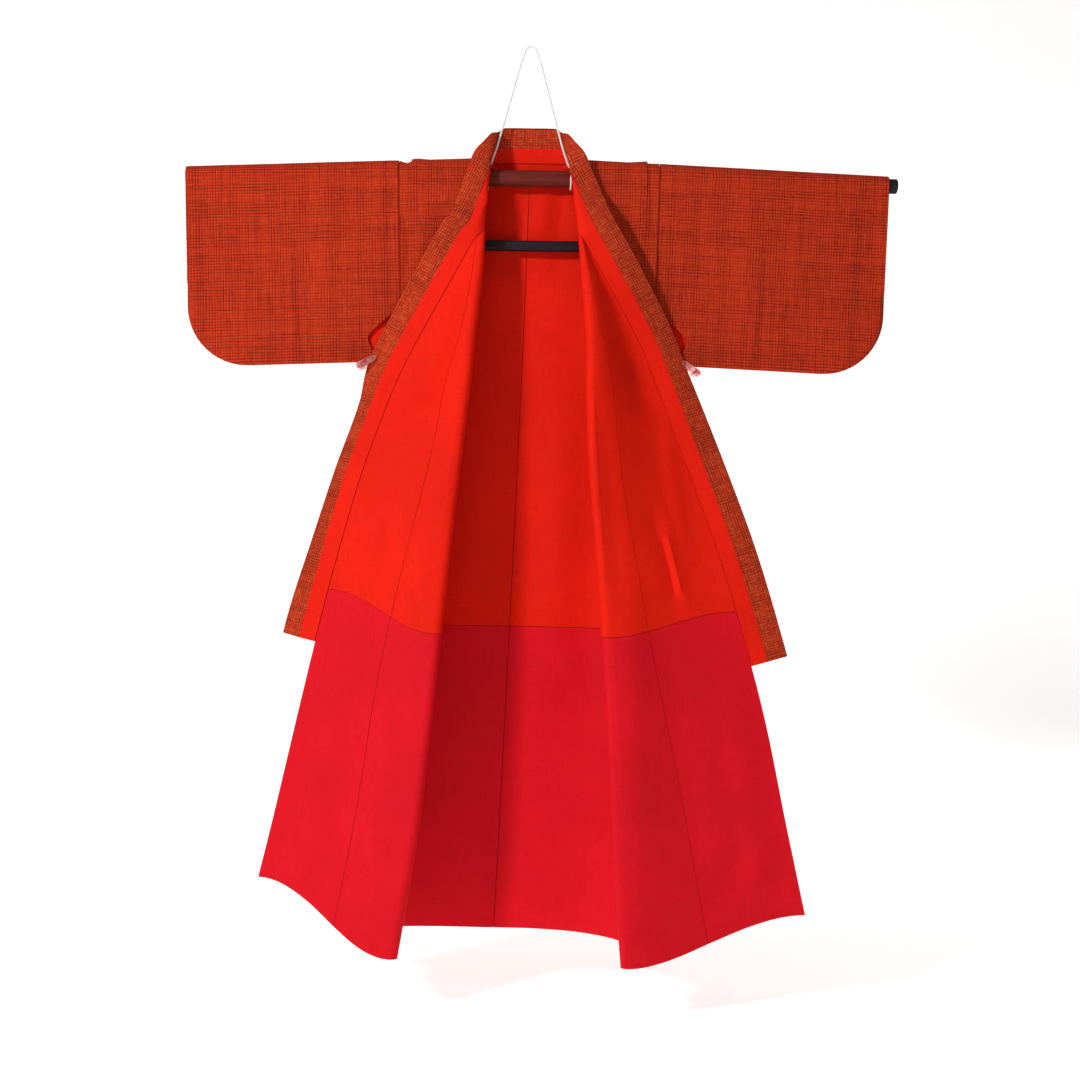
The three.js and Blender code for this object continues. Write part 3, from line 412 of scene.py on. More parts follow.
def front_trail(side, drop):
    """Cloth of a front at one height: behind, round the crest fold and out to the free edge."""
    sign = sign_of(side)
    start, edge = side_line(side, drop, False), edge_line(side, drop)
    z = -drop * FALL[side]["crest"]
    crest = vec(column(side, "crest_x", z), column(side, "crest_y", z), z)
    radius = min(FOLD_TOP + max((drop - FIRST_FRONT) / FOLD_GROWTH, 0), FOLD_FULL)
    inward = vec(-sign * math.cos(FOLD_LEAN), -math.sin(FOLD_LEAN), 0)
    backward = vec(-sign * math.sin(FOLD_LEAN), math.cos(FOLD_LEAN), 0)
    angles = math.pi * (0.5 - np.linspace(0, 1, ROUND_STEPS + 1))
    centre = crest - inward * radius
    arc = centre + radius * (np.cos(angles)[:, None] * inward + np.sin(angles)[:, None] * backward)
    hidden = np.linalg.norm(start - arc[0])
    behind = bezier(start, start + vec(-sign * 0.68 * hidden, -0.01 * hidden, 0),
                    arc[0] - inward * 0.16 * hidden, arc[0], BEHIND_STEPS)
    opened = np.linalg.norm(edge - arc[-1])
    _, inner, _ = band_directions(side, drop)
    front = bezier(arc[-1], arc[-1] - inward * 0.3 * opened,
                   edge - unit(vec(inner[0], inner[1], 0)) * 0.33 * opened, edge, OPEN_STEPS)
    trail = Trail(np.concatenate([behind, arc[1:], front[1:]]))
    trail.fold = trail.lengths[[BEHIND_STEPS, BEHIND_STEPS + ROUND_STEPS // 2, BEHIND_STEPS + ROUND_STEPS]]
    trail.seam = trail.total - max(column(side, "okumi", -drop), 0)
    return trail


def neck_row(row):
    """Seam, fold and free edge at a place between the rows of the collar table."""
    i = int(min(row, len(NECK) - 2))
    t = row - i
    picks = [np.array(NECK[min(max(k, 0), len(NECK) - 1)], float) for k in (i - 1, i, i + 1, i + 2)]
    leave, arrive = (picks[2] - picks[0]) / 2, (picks[3] - picks[1]) / 2
    return ((2 * t**3 - 3 * t**2 + 1) * picks[1] + (t**3 - 2 * t**2 + t) * leave
            + (3 * t**2 - 2 * t**3) * picks[2] + (t**3 - t**2) * arrive)


def neck_point(side, values):
    """A point of the collar table on either side. The right side spreads a little more."""
    x, y, z = values
    return vec(x, y, z) if side == "left" else vec(-x + RIGHT_SPREAD * max(30 - z, 0), y, z)


print("front of the left half at the hem", round(front_trail("left", HEM_DROP).total), "mm round")

# %% [markdown]
# ## Sheets and creases
# A sheet is rows of points joined strip by strip. Outer cloth and lining are thin shells on the two
# sides of one sheet, so they follow each other as sewn cloth does. Creases are laid on one by one: each
# row of the table is a soft ridge towards the viewer, or a trough where its height is negative.

# %% Sheets and creases
CREASE_NAMES = ("place", "x1", "z1", "x2", "z2", "x3", "z3", "height", "width")
CREASES = (
    # open right front: the sharp pleat, the faint fold above it and the slack near the lower corner
    ("front", 200, -500, 219, -570, 233, -648, 8.5, 4.6),
    ("front", 186, -500, 206, -568, 223, -640, -5.0, 8),
    ("front", 210, -372, 215, -440, 248, -640, 4.2, 9),
    ("front", 283, -1078, 326, -1036, 372, -992, 4.9, 14),
    ("front", 262, -1056, 300, -1010, 348, -962, -4.2, 15),
    ("front", 150, -560, 160, -800, 172, -1120, 4.9, 24),
    ("front", 214, -690, 232, -880, 262, -1130, -4.6, 26),
    ("front", 300, -700, 322, -860, 350, -1080, 4.2, 22),
    ("front", 108, -330, 122, -470, 140, -640, -3.4, 14),
    ("front", 120, -210, 150, -280, 182, -345, -4.2, 12),
    # open left front
    ("front", -112, -230, -140, -300, -176, -356, -4.6, 12),
    ("front", -120, -400, -140, -540, -160, -700, 3.8, 18),
    ("front", -180, -470, -205, -600, -232, -760, -3.6, 16),
    ("front", -190, -770, -205, -920, -222, -1110, 4.6, 22),
    ("front", -262, -720, -290, -890, -330, -1060, 3.8, 20),
    ("front", -236, -840, -262, -960, -290, -1080, -3.4, 18),
    ("front", -300, -990, -330, -1012, -372, -1024, 3.4, 12),
    # back, seen between the fronts and from behind
    ("back", -20, 6, -24, -40, -26, -92, 3.1, 7),
    ("back", -4, 0, -8, -50, -14, -110, -2.7, 8),
    ("back", 26, 4, 24, -36, 14, -84, 3.4, 8),
    ("back", 44, 0, 46, -60, 40, -150, -2.7, 11),
    ("back", -46, -30, -50, -130, -60, -260, 2.5, 14),
    ("back", 60, -280, 54, -480, 44, -760, 4.1, 26),
    ("back", -64, -300, -84, -520, -100, -820, 4.4, 28),
    ("back", 8, -420, -6, -720, -22, -1100, -2.7, 24),
    ("back", 110, -300, 112, -560, 108, -900, -5.1, 34),
    ("back", -150, -340, -164, -600, -178, -940, -5.4, 34),
    ("back", 150, -420, 140, -760, 130, -1120, 5.4, 30),
    ("back", -196, -420, -206, -760, -214, -1120, 5.1, 28),
    ("back", 130, -70, 120, -150, 96, -250, 3.7, 16),
    ("back", -126, -60, -118, -150, -98, -260, 3.4, 17),
    # open left front beside the clip
    ("front", -186, -338, -156, -345, -122, -347, 3.0, 4),
    ("front", -190, -320, -166, -310, -140, -306, 2.8, 4),
    ("front", -170, -362, -148, -372, -126, -370, -1.4, 5),
    # outer cloth beside the collar, below the shoulders
    ("behind", 118, -26, 152, -78, 188, -160, -6.5, 10),
    ("behind", 140, -22, 174, -84, 196, -176, 3.4, 9),
    ("behind", 96, -28, 128, -92, 164, -190, 2.6, 8),
    ("behind", -186, -50, -178, -112, -188, -180, -4.6, 7),
    ("behind", -160, -36, -158, -110, -172, -196, 3.2, 9),
    ("behind", -118, -36, -142, -96, -160, -170, -3.6, 8),
    # hidden outer face of each front
    ("behind", 150, -420, 146, -700, 142, -1080, -5.1, 26),
    ("behind", -170, -430, -190, -700, -214, -1080, -4.8, 26),
    ("behind", 134, -330, 128, -440, 120, -560, 3.9, 18),
    ("behind", -136, -330, -142, -450, -150, -580, 3.6, 18),
    # sleeves, front and back
    ("sleeve_front", -204, 4, -206, -92, -200, -170, -2.4, 5),
    ("sleeve_front", -206, 16, -208, -60, -214, -150, -2.0, 6),
    ("sleeve_front", -221, 14, -224, -50, -232, -130, 2.0, 7),
    ("sleeve_front", -243, 12, -248, -70, -262, -180, -1.7, 9),
    ("sleeve_front", -300, 8, -306, -90, -322, -220, 1.8, 16),
    ("sleeve_front", -380, 6, -386, -100, -396, -200, -1.5, 20),
    ("sleeve_front", -452, 4, -456, -90, -462, -170, 1.5, 18),
    ("sleeve_front", 214, 14, 218, -70, 228, -160, 1.8, 8),
    ("sleeve_front", 256, 12, 262, -90, 272, -200, -1.7, 14),
    ("sleeve_front", 330, 8, 336, -100, 350, -240, 1.8, 20),
    ("sleeve_front", 428, 4, 432, -90, 440, -200, -1.7, 20),
    ("sleeve_front", 372, -228, 390, -258, 402, -276, 2.2, 7),
    ("sleeve_front", 348, -236, 368, -262, 380, -278, -1.8, 7),
    ("sleeve_front", -330, -190, -300, -244, -268, -272, 1.8, 10),
    ("sleeve_back", -240, 10, -250, -80, -262, -200, 2.0, 12),
    ("sleeve_back", -330, 8, -340, -110, -356, -230, -1.8, 18),
    ("sleeve_back", -430, 4, -432, -100, -440, -190, 1.7, 18),
    ("sleeve_back", 236, 12, 244, -80, 254, -190, -1.8, 12),
    ("sleeve_back", 318, 8, 324, -100, 340, -240, 2.0, 18),
    ("sleeve_back", 420, 4, 430, -100, 446, -190, -1.7, 18),
)


# The cloth sinks a little on top of the left shoulder, beside the sleeve seam.
NOTCH = {"x": -184, "width": 8, "depth": 4.2}
print(len(CREASES), "creases")


def crease_height(place, points):
    """How far the creases of a place push each point towards the viewer."""
    height = np.zeros(len(points))
    flat = points[:, [0, 2]]
    for row in CREASES:
        crease = dict(zip(CREASE_NAMES, row))
        if crease["place"] != place:
            continue
        knots = [np.array((crease[f"x{k}"], crease[f"z{k}"]), float) for k in (1, 2, 3)]
        t = np.linspace(0, 1, 25)[:, None]
        bend = 2 * knots[1] - (knots[0] + knots[2]) / 2
        line = (1 - t) ** 2 * knots[0] + 2 * t * (1 - t) * bend + t**2 * knots[2]
        gap = np.linalg.norm(flat[:, None, :] - line[None, :, :], axis=2)
        near = gap.min(axis=1)
        share = gap.argmin(axis=1) / 24
        ends = np.sin(np.pi * (0.06 + 0.88 * share)) ** 0.8
        height += crease["height"] * ends * np.exp(-((near / crease["width"]) ** 2))
    return height


class Sheet:
    """Cloth with no thickness. Each point keeps its place on the flat cloth; each face has a label."""

    def __init__(self):
        self.points, self.flat, self.place = [], [], []
        self.faces, self.labels, self.known, self.joined = [], [], {}, []
        self.label, self.zone = "", ""

    def add(self, point, flat):
        """Number of the point here. Points that meet are one."""
        key = tuple(np.round(np.array(point) * 200).astype(int))
        if key not in self.known:
            self.known[key] = len(self.points)
            self.points.append(np.array(point, float))
            self.flat.append(flat)
            self.place.append(self.zone)
        return self.known[key]

    def face(self, corners, flip):
        if len(set(corners)) < 3:
            return
        kept = [c for i, c in enumerate(corners) if c != corners[i - 1]]
        self.faces.append(kept[::-1] if flip else kept)
        self.labels.append(self.label)

    def strip(self, upper, lower, flip):
        a = [self.add(p, q) for p, q in zip(*upper)]
        b = [self.add(p, q) for p, q in zip(*lower)]
        if len(a) == len(b):
            for i in range(1, len(a)):
                self.face([a[i - 1], b[i - 1], b[i], a[i]], flip)
            return
        ta, tb = (Trail(row[0]).lengths / max(Trail(row[0]).total, 1e-6) for row in (upper, lower))
        i = j = 0
        while i < len(a) - 1 or j < len(b) - 1:
            next_a = ta[i] + ta[i + 1] if i < len(a) - 1 else math.inf
            next_b = tb[j] + tb[j + 1] if j < len(b) - 1 else math.inf
            if next_b <= next_a:
                self.face([a[i], b[j], b[j + 1]], flip)
                j += 1
            else:
                self.face([a[i], b[j], a[i + 1]], flip)
                i += 1

    def rows(self, rows, flip):
        for upper, lower in zip(rows, rows[1:]):
            self.strip(upper, lower, flip)

    def settle(self):
        """Fixes the points, lays the creases on and works out the directions out of the cloth."""
        self.points = np.array(self.points)
        self.place = np.array(self.place)
        for place in set(self.place):
            held = self.place == place
            table_place = "behind" if place == "shoulder" else place
            self.points[held, 1] -= crease_height(table_place, self.points[held])
        dip = np.exp(-(((self.points[:, 0] - NOTCH["x"]) / NOTCH["width"]) ** 2))
        self.points[:, 2] -= NOTCH["depth"] * dip * soft(self.points[:, 2], 12, 24)
        normals = np.zeros_like(self.points)
        for corners in self.faces:
            for k in range(1, len(corners) - 1):
                tri = [corners[0], corners[k], corners[k + 1]]
                p, q, r = self.points[tri]
                normals[tri] += np.cross(q - p, r - p)
        normals /= np.maximum(np.linalg.norm(normals, axis=1), 1e-9)[:, None]
        for m, n in self.joined:
            shared = unit(normals[m] + normals[n])
            normals[m] = normals[n] = shared
        self.normals = normals


def shell(name, sheet, wanted, reach, thickness, material):
    """A thin shell of the sheet's wanted faces, at a distance along its normals."""
    picked = [i for i, label in enumerate(sheet.labels) if wanted(label)]
    used = sorted({c for i in picked for c in sheet.faces[i]})
    place = {c: k for k, c in enumerate(used)}
    corners = [[place[c] for c in sheet.faces[i]] for i in picked]
    spots = sheet.points[used] + sheet.normals[used] * reach
    mesh = bpy.data.meshes.new(name)
    mesh.from_pydata([metres(p) for p in spots], [], corners)
    cloth = mesh.uv_layers.new(name="cloth")
    flat = [sheet.flat[c] for c in used]
    for loop in mesh.loops:
        cloth.data[loop.index].uv = np.array(flat[loop.vertex_index]) / 1000
    mesh.materials.append(material)
    thing = bpy.data.objects.new(name, mesh)
    scene.collection.objects.link(thing)
    pick(thing)
    wall = thing.modifiers.new("wall", "SOLIDIFY")
    wall.thickness, wall.offset = thickness / 1000, 0
    bpy.ops.object.modifier_apply(modifier="wall")
    bpy.ops.object.shade_smooth_by_angle(angle=math.radians(55))
    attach(thing, "root")
    area = sum(p.area for p in thing.data.polygons) / 2
    print(f"{name}: {len(thing.data.polygons)} faces, {area:.3f} square metres")
    return thing


# %% [markdown]
# ## Materials
# Every material is made of nodes. The weaves are mapped on the flat cloth in metres, so a thread keeps
# its size and follows the grain through each fold. The check has thin lines of uneven width both ways,
# darker and a few lighter, which break off here and there as hand-dyed yarn does.

# %% Materials
class Value:
    """An output of a shader node that ordinary sums can be done with."""

    def __init__(self, look, socket):
        self.look, self.socket = look, socket

    def maths(self, operation, other=0.0):
        node = self.look.node("ShaderNodeMath", operation=operation)
        for i, item in enumerate((self, other)):
            self.look.put(node.inputs[i], item)
        return Value(self.look, node.outputs[0])

    def __add__(self, other):
        return self.maths("ADD", other)

    def __mul__(self, other):
        return self.maths("MULTIPLY", other)

    def between(self, low, high):
        node = self.look.node("ShaderNodeMapRange", interpolation_type="SMOOTHSTEP")
        self.look.put(node.inputs["Value"], self)
        node.inputs["From Min"].default_value, node.inputs["From Max"].default_value = low, high
        return Value(self.look, node.outputs[0])


class Look:
    """A material and the steps that make it."""

    def __init__(self, name, base, roughness, **settings):
        self.material = bpy.data.materials.new(name)
        self.material.use_nodes = True
        self.tree = self.material.node_tree
        self.shader = self.tree.nodes["Principled BSDF"]
        self.shader.inputs["Base Color"].default_value = (*base, 1)
        self.shader.inputs["Roughness"].default_value = roughness
        for key, value in settings.items():
            self.shader.inputs[key.replace("_", " ")].default_value = value

    def node(self, kind, **settings):
        made = self.tree.nodes.new(kind)
        for key, value in settings.items():
            setattr(made, key, value)
        return made

    def put(self, socket, item):
        if isinstance(item, Value):
            self.tree.links.new(item.socket, socket)
        else:
            socket.default_value = item

    def coordinates(self, source):
        if source == "cloth":
            node = self.node("ShaderNodeUVMap", uv_map="cloth")
            return node.outputs["UV"]
        return self.node("ShaderNodeTexCoord").outputs["Object"]

    def noise(self, source, scale, detail, stretch=(1, 1, 1), offset=(0, 0, 0)):
        mapping = self.node("ShaderNodeMapping")
        self.tree.links.new(self.coordinates(source), mapping.inputs["Vector"])
        mapping.inputs["Scale"].default_value = [scale * s for s in stretch]
        mapping.inputs["Location"].default_value = offset
        made = self.node("ShaderNodeTexNoise")
        made.inputs["Scale"].default_value = 1
        made.inputs["Detail"].default_value = detail
        self.tree.links.new(mapping.outputs["Vector"], made.inputs["Vector"])
        return Value(self, made.outputs["Fac"])

    def threads(self, axis, per_metre):
        """A rise for each thread across one axis of the cloth."""
        parts = self.node("ShaderNodeSeparateXYZ")
        self.tree.links.new(self.coordinates("cloth"), parts.inputs[0])
        along = Value(self, parts.outputs[axis]) * (2 * math.pi * per_metre)
        return along.maths("SINE") * 0.5 + 0.5

    def colours(self, share, first, second):
        node = self.node("ShaderNodeMix", data_type="RGBA")
        self.put(node.inputs["Factor"], share)
        for socket, item in ((node.inputs[6], first), (node.inputs[7], second)):
            self.put(socket, item if isinstance(item, Value) else (*item, 1))
        return Value(self, node.outputs[2])

    def bump(self, height, distance, strength):
        node = self.node("ShaderNodeBump")
        node.inputs["Distance"].default_value = distance
        node.inputs["Strength"].default_value = strength
        self.put(node.inputs["Height"], height)
        self.tree.links.new(node.outputs["Normal"], self.shader.inputs["Normal"])

    def paint(self, value):
        self.tree.links.new(value.socket, self.shader.inputs["Base Color"])

    def rough(self, value):
        self.tree.links.new(value.socket, self.shader.inputs["Roughness"])


LIGHT_THREAD, DARK_THREAD = (0.80, 0.17, 0.05), (0.052, 0.005, 0.003)
BODY_WEAVE, LINING_WEAVE = 900, 1400


def checked(name, ground_colour, pitch, light_share):
    """Checked cloth: a fine grid of dark lines, uneven in strength, with broken light threads between."""
    look = Look(name, ground_colour, 0.85, Specular_IOR_Level=0.06, Sheen_Weight=0.02, Sheen_Roughness=0.5)
    look.shader.inputs["Sheen Tint"].default_value = (1.0, 0.45, 0.3, 1)
    dark, light = [], []
    for axis, places in ((0, (2, 5, 3)), (1, (9, 1, 6))):
        along = (1, 0.05, 1) if axis == 0 else (0.05, 1, 1)
        strength = look.noise("cloth", 75, detail=1, stretch=along, offset=places).between(0.36, 0.62)
        lines = look.threads(axis, pitch).between(0.74, 0.97) * (strength * 0.7 + 0.3)
        half_lines = look.threads(axis, 2 * pitch).between(0.7, 0.97)
        fine = look.noise("cloth", 430, detail=1, stretch=along, offset=places[::-1]).between(0.5, 0.66)
        wide = look.noise("cloth", 40, detail=1, stretch=along, offset=(places[1], places[2], 8))
        dark.append(lines * 0.56 + half_lines * 0.16 + fine * 0.16 + wide.between(0.5, 0.7) * 0.10)
        dashes = look.noise("cloth", 340, detail=0, stretch=(1, 0.3, 1) if axis == 0 else (0.3, 1, 1),
                            offset=places[::-1])
        light.append(look.threads(axis, 2 * pitch).between(0.5, 0.1) * dashes.between(0.5, 0.68))
    patches = look.noise("cloth", 9, detail=2, offset=(1, 1, 4))
    faded, deep = (tuple(share * c for c in ground_colour) for share in (0.88, 1.12))
    bright = ((light[0] + light[1]) * light_share).maths("MINIMUM", 0.8)
    woven = look.colours(bright, look.colours(patches, faded, deep), LIGHT_THREAD)
    look.paint(look.colours((dark[0] + dark[1]).maths("MINIMUM", 0.9), woven, DARK_THREAD))
    weave = look.threads(0, BODY_WEAVE) * look.threads(1, BODY_WEAVE)
    slub = look.noise("cloth", 1, detail=2, stretch=(500, 60, 1), offset=(3, 3, 3))
    look.bump(weave * 0.6 + slub * 0.8, 0.0003, 0.5)
    return look.material


def plain_cloth(name, colour, deep, sheen):
    """Plain lining with a fine weave, faint slubs and a soft sheen."""
    look = Look(name, colour, 0.6, Specular_IOR_Level=0.05, Sheen_Weight=sheen, Sheen_Roughness=0.35)
    look.shader.inputs["Sheen Tint"].default_value = (1.0, 0.22, 0.15, 1)
    cloudy = look.noise("cloth", 7, detail=3, offset=(5, 2, 1)).between(0.3, 0.7)
    slub = look.noise("cloth", 1, detail=2, stretch=(420, 30, 1), offset=(1, 4, 2))
    weft = look.noise("cloth", 1, detail=2, stretch=(40, 520, 1), offset=(6, 4, 2))
    ground = look.colours(cloudy, tuple(0.9 * c for c in colour), colour)
    look.paint(look.colours((slub + weft).between(1.0, 1.35) * 0.35, ground, deep))
    look.rough(slub * 0.12 + 0.52)
    weave = look.threads(0, LINING_WEAVE) + look.threads(1, LINING_WEAVE)
    look.bump(weave * 0.4 + slub * 0.7 + weft * 0.7, 0.0003, 0.5)
    return look.material


def lacquer(name, colour, streak, stretch):
    """Painted wood or metal under a thin gloss coat, with faint long streaks and fine dust."""
    look = Look(name, colour, 0.5, Specular_IOR_Level=0.12, Coat_Weight=0.02, Coat_Roughness=0.3)
    lines = look.noise("object", 1, detail=3, stretch=stretch).between(0.35, 0.7)
    dust = look.noise("object", 900, detail=2)
    look.paint(look.colours(lines, colour, streak))
    look.rough(dust * 0.16 + 0.5)
    look.bump(lines * 0.6 + dust * 0.4, 0.0002, 0.5)
    return look.material


check_cloth = checked("check cloth", (0.56, 0.034, 0.009), 232, 0.16)
collar_cloth = checked("collar cloth", (0.57, 0.040, 0.011), 250, 0.5)
red_lining = plain_cloth("red lining", (0.80, 0.014, 0.004), (0.50, 0.006, 0.002), 0.02)
crimson_lining = plain_cloth("crimson lining", (0.72, 0.007, 0.016), (0.44, 0.003, 0.008), 0.02)
brown_lacquer = lacquer("brown lacquer", (0.150, 0.018, 0.010), (0.095, 0.011, 0.007), (14, 260, 260))
black_lacquer = lacquer("black lacquer", (0.012, 0.010, 0.013), (0.022, 0.017, 0.022), (20, 200, 200))

cord_look = Look("white cord", (0.86, 0.85, 0.82), 0.85)
strands = cord_look.noise("object", 1, detail=2, stretch=(700, 700, 260)).between(0.3, 0.7)
cord_look.paint(cord_look.colours(strands, (0.74, 0.73, 0.69), (0.90, 0.89, 0.87)))
cord_look.bump(strands, 0.0006, 0.8)
cord.data.materials.append(cord_look.material)

steel_look = Look("spring steel", (0.20, 0.20, 0.21), 0.32, Metallic=1.0)
brushed = steel_look.noise("object", 1, detail=2, stretch=(900, 900, 2200)).between(0.3, 0.7)
steel_look.rough(brushed * 0.2 + 0.24)
steel_look.bump(brushed, 0.0001, 0.4)

plastic_look = Look("clip plastic", (0.86, 0.70, 0.68), 0.2, Transmission_Weight=0.8)
haze = plastic_look.noise("object", 160, detail=2).between(0.36, 0.6)
plastic_look.paint(plastic_look.colours(haze, (0.78, 0.16, 0.15), (0.90, 0.60, 0.58)))
plastic_look.rough(haze * 0.14 + 0.16)
plastic_look.bump(haze, 0.0003, 0.4)
print("materials", len(bpy.data.materials))

# %% [markdown]
# ## Body halves
# Each half is one sheet from the back hem over the shoulder to the front hem, with its overlap panel.
# The outer cloth lies on one side of it and the linings on the other: orange-red above, crimson below.

# %% Body halves
TUCK_STEPS = (0, 6, 12, 18, 19.5, 28, 37, 46)
SHOULDER_COUNT = 9
NECK_XS = (0, 8, 16, 24, 33, 42, 48.5, 54, 60, 66)
BEHIND, ROUND, OPEN, OKUMI, BACK = 14, 9, 24, 14, 26
OVER_SHOULDER = 30
BACK_DROPS = (14, 26, 38, 50, 62, 74, 86, 98, 110, 122, 134, 146, 158, 169, 176, 187, 200, 214, 228, 242,
              256, 270, 285, 300)
UPPER_FRONTS = [FIRST_FRONT, SECOND_FRONT, *np.arange(113, 296, 9.35)]
ABOVE_SEAM, BELOW_SEAM = LINING_SEAM_DROP - SEAM_GAP / 2, LINING_SEAM_DROP + SEAM_GAP / 2
LINING_DROPS = {
    "doura": list(np.linspace(UNDERARM_DROP, ABOVE_SEAM, 33)),
    "join": [ABOVE_SEAM, BELOW_SEAM],
    "hakkake": list(np.linspace(BELOW_SEAM, HEM_DROP, 40)),
}


def stretch_marks(total, count):
    """Marks from the shoulder's end: close together at the tuck, then even."""
    return [*TUCK_STEPS, *np.linspace(TUCK_STEPS[-1], total, count)[1:]]


def front_row(side, drop):
    """A row of a front in three parts: behind, round the fold and open."""
    trail = front_trail(side, drop)
    start, middle, end = trail.fold
    to = middle - FRONT_NECK_GAP if drop < OKUMI_TIP else trail.seam - SEAM_GAP / 2
    end = min(end, to)
    if drop > TUCK_LENGTH:
        behind = np.linspace(0, start, BEHIND)
    else:
        behind = stretch_marks(start, BEHIND - len(TUCK_STEPS) + 1)
    rows = []
    for marks in (behind, np.linspace(start, end, ROUND), np.linspace(end, to, OPEN)):
        points = trail.at(marks)
        for point, mark in zip(points, marks):
            if mark < start:
                point[1] -= tuck_lift(point[0], drop)
        rows.append((points, [(mark, drop + OVER_SHOULDER) for mark in marks]))
    return rows


def okumi_row(side, drop):
    """A row of the overlap panel, from its seam to the collar."""
    trail = front_trail(side, drop)
    start = trail.seam + SEAM_GAP / 2
    marks = np.linspace(start, trail.total - COLLAR_GAP, OKUMI)
    return trail.at(marks), [(mark, drop + OVER_SHOULDER) for mark in marks]


def back_row(side, drop):
    """A row of the back. Above the tuck its points keep the places of the neck and the shoulder."""
    trail = back_trail(side, drop)
    marks = np.linspace(0, trail.total, BACK)
    if drop <= TUCK_LENGTH:
        outer = trail.total - np.array(stretch_marks(trail.total - 72, SHOULDER_COUNT))[::-1]
        marks = np.array([*NECK_XS, *outer])
    points = trail.at(marks)
    for point in points:
        point[1] += tuck_lift(point[0], drop)
    return points, [(mark, -drop - OVER_SHOULDER) for mark in marks]


def shoulder_line(side):
    """The top line of the cloth: the back neck seam, then the ridge out to the sleeve seam."""
    sign = sign_of(side)
    seams = [neck_point(side, neck_row(row)[0]) for row in np.linspace(0, NECK_SHOULDER_ROW, 13)]
    seam_x = [abs(p[0]) + 0.7 for p in seams]
    neck_side = abs(seams[-1][0]) + NECK_GAP
    points = []
    for x in NECK_XS:
        y = np.interp(x, seam_x, [p[1] for p in seams]) if x > seam_x[0] else BACK_DEPTH
        points.append(vec(sign * max(x, SEAM_GAP / 2), y, NECK_TOP - 2 * SEAM_GAP))
    reach = SHOULDER_X - np.array(stretch_marks(SHOULDER_X - neck_side, SHOULDER_COUNT))[::-1]
    for i, x in enumerate(reach):
        points.append(vec(sign * x, seams[-1][1] if i == 0 else 0, top_at(x) + tuck_lift(x, 0)))
    return np.array(points), reach


def over_shoulder(side, ridge, reach):
    """Rows from the top line over the rod and down the back to the underarm."""
    first_back = back_row(side, 5)
    rows = [(ridge, [(x, 0) for x in (*NECK_XS, *reach)])]
    for share in (0.985, 0.95, 0.88, 0.78, 0.66, 0.52, 0.36, 0.18):
        points = first_back[0].copy()
        points[:, 1] = mix(ridge[:, 1], points[:, 1], math.sqrt(1 - share**2))
        points[:, 2] = mix(points[:, 2], ridge[:, 2], share)
        points[:, 0] = mix(points[:, 0], ridge[:, 0], share)
        rows.append((points, [(q[0], -35 * (1 - share)) for q in first_back[1]]))
    return [*rows, first_back, *(back_row(side, drop) for drop in BACK_DROPS)]


def beside_neck(side):
    """Rows of the front beside the neck, from the shoulder down to where the front opens."""
    sign, top = sign_of(side), top_at(SHOULDER_X)
    heights = [top, min(24, top - 1), 12, -14, -42]
    rows = []
    for row in np.linspace(NECK_SHOULDER_ROW, len(NECK) - 1, 15)[1:]:
        end = neck_point(side, neck_row(row)[0])
        end[0] += sign * NECK_GAP
        z = np.interp(row, range(NECK_SHOULDER_ROW, len(NECK)), heights)
        arch = min((top - z) / (top + 4), 1)
        start = side_line(side, max(-z, 0), False)
        start[2], start[1] = z, -arm_depth(z) * math.sqrt(1 - (1 - arch) ** 2)
        lean = abs(start[0] - end[0])
        trail = Trail(bezier(start, start - vec(sign * 0.5 * lean, 0, 0),
                             end + vec(sign * 0.35 * lean, 0.2 * (start[1] - end[1]), 0), end, 30))
        marks = stretch_marks(trail.total, SHOULDER_COUNT)
        points = trail.at(marks)
        for point in points:
            point[1] -= tuck_lift(point[0], max(-z, 0))
        rows.append((points, [(mark, OVER_SHOULDER - z) for mark in marks]))
    return rows


def into_front(side, last):
    """Rows that join the last row beside the neck to the first row of the open front."""
    first = front_row(side, FIRST_FRONT)
    target = np.concatenate([first[0][0], first[1][0][1:]])
    marks = [q[0] for q in first[0][1]] + [q[0] for q in first[1][1][1:]]
    held = len(TUCK_STEPS)
    inner = Trail(last[0][held - 1:])
    spread = inner.at(np.linspace(0, inner.total, len(target) - held + 1))
    source = np.concatenate([last[0][:held - 1], spread])
    flats = (OVER_SHOULDER + 42, FIRST_FRONT + OVER_SHOULDER)
    between = [(mix(source, target, t), [(m, mix(*flats, t)) for m in marks]) for t in (0.2, 0.4, 0.6, 0.8)]
    return [last, *between, (target, [(m, flats[1]) for m in marks])]


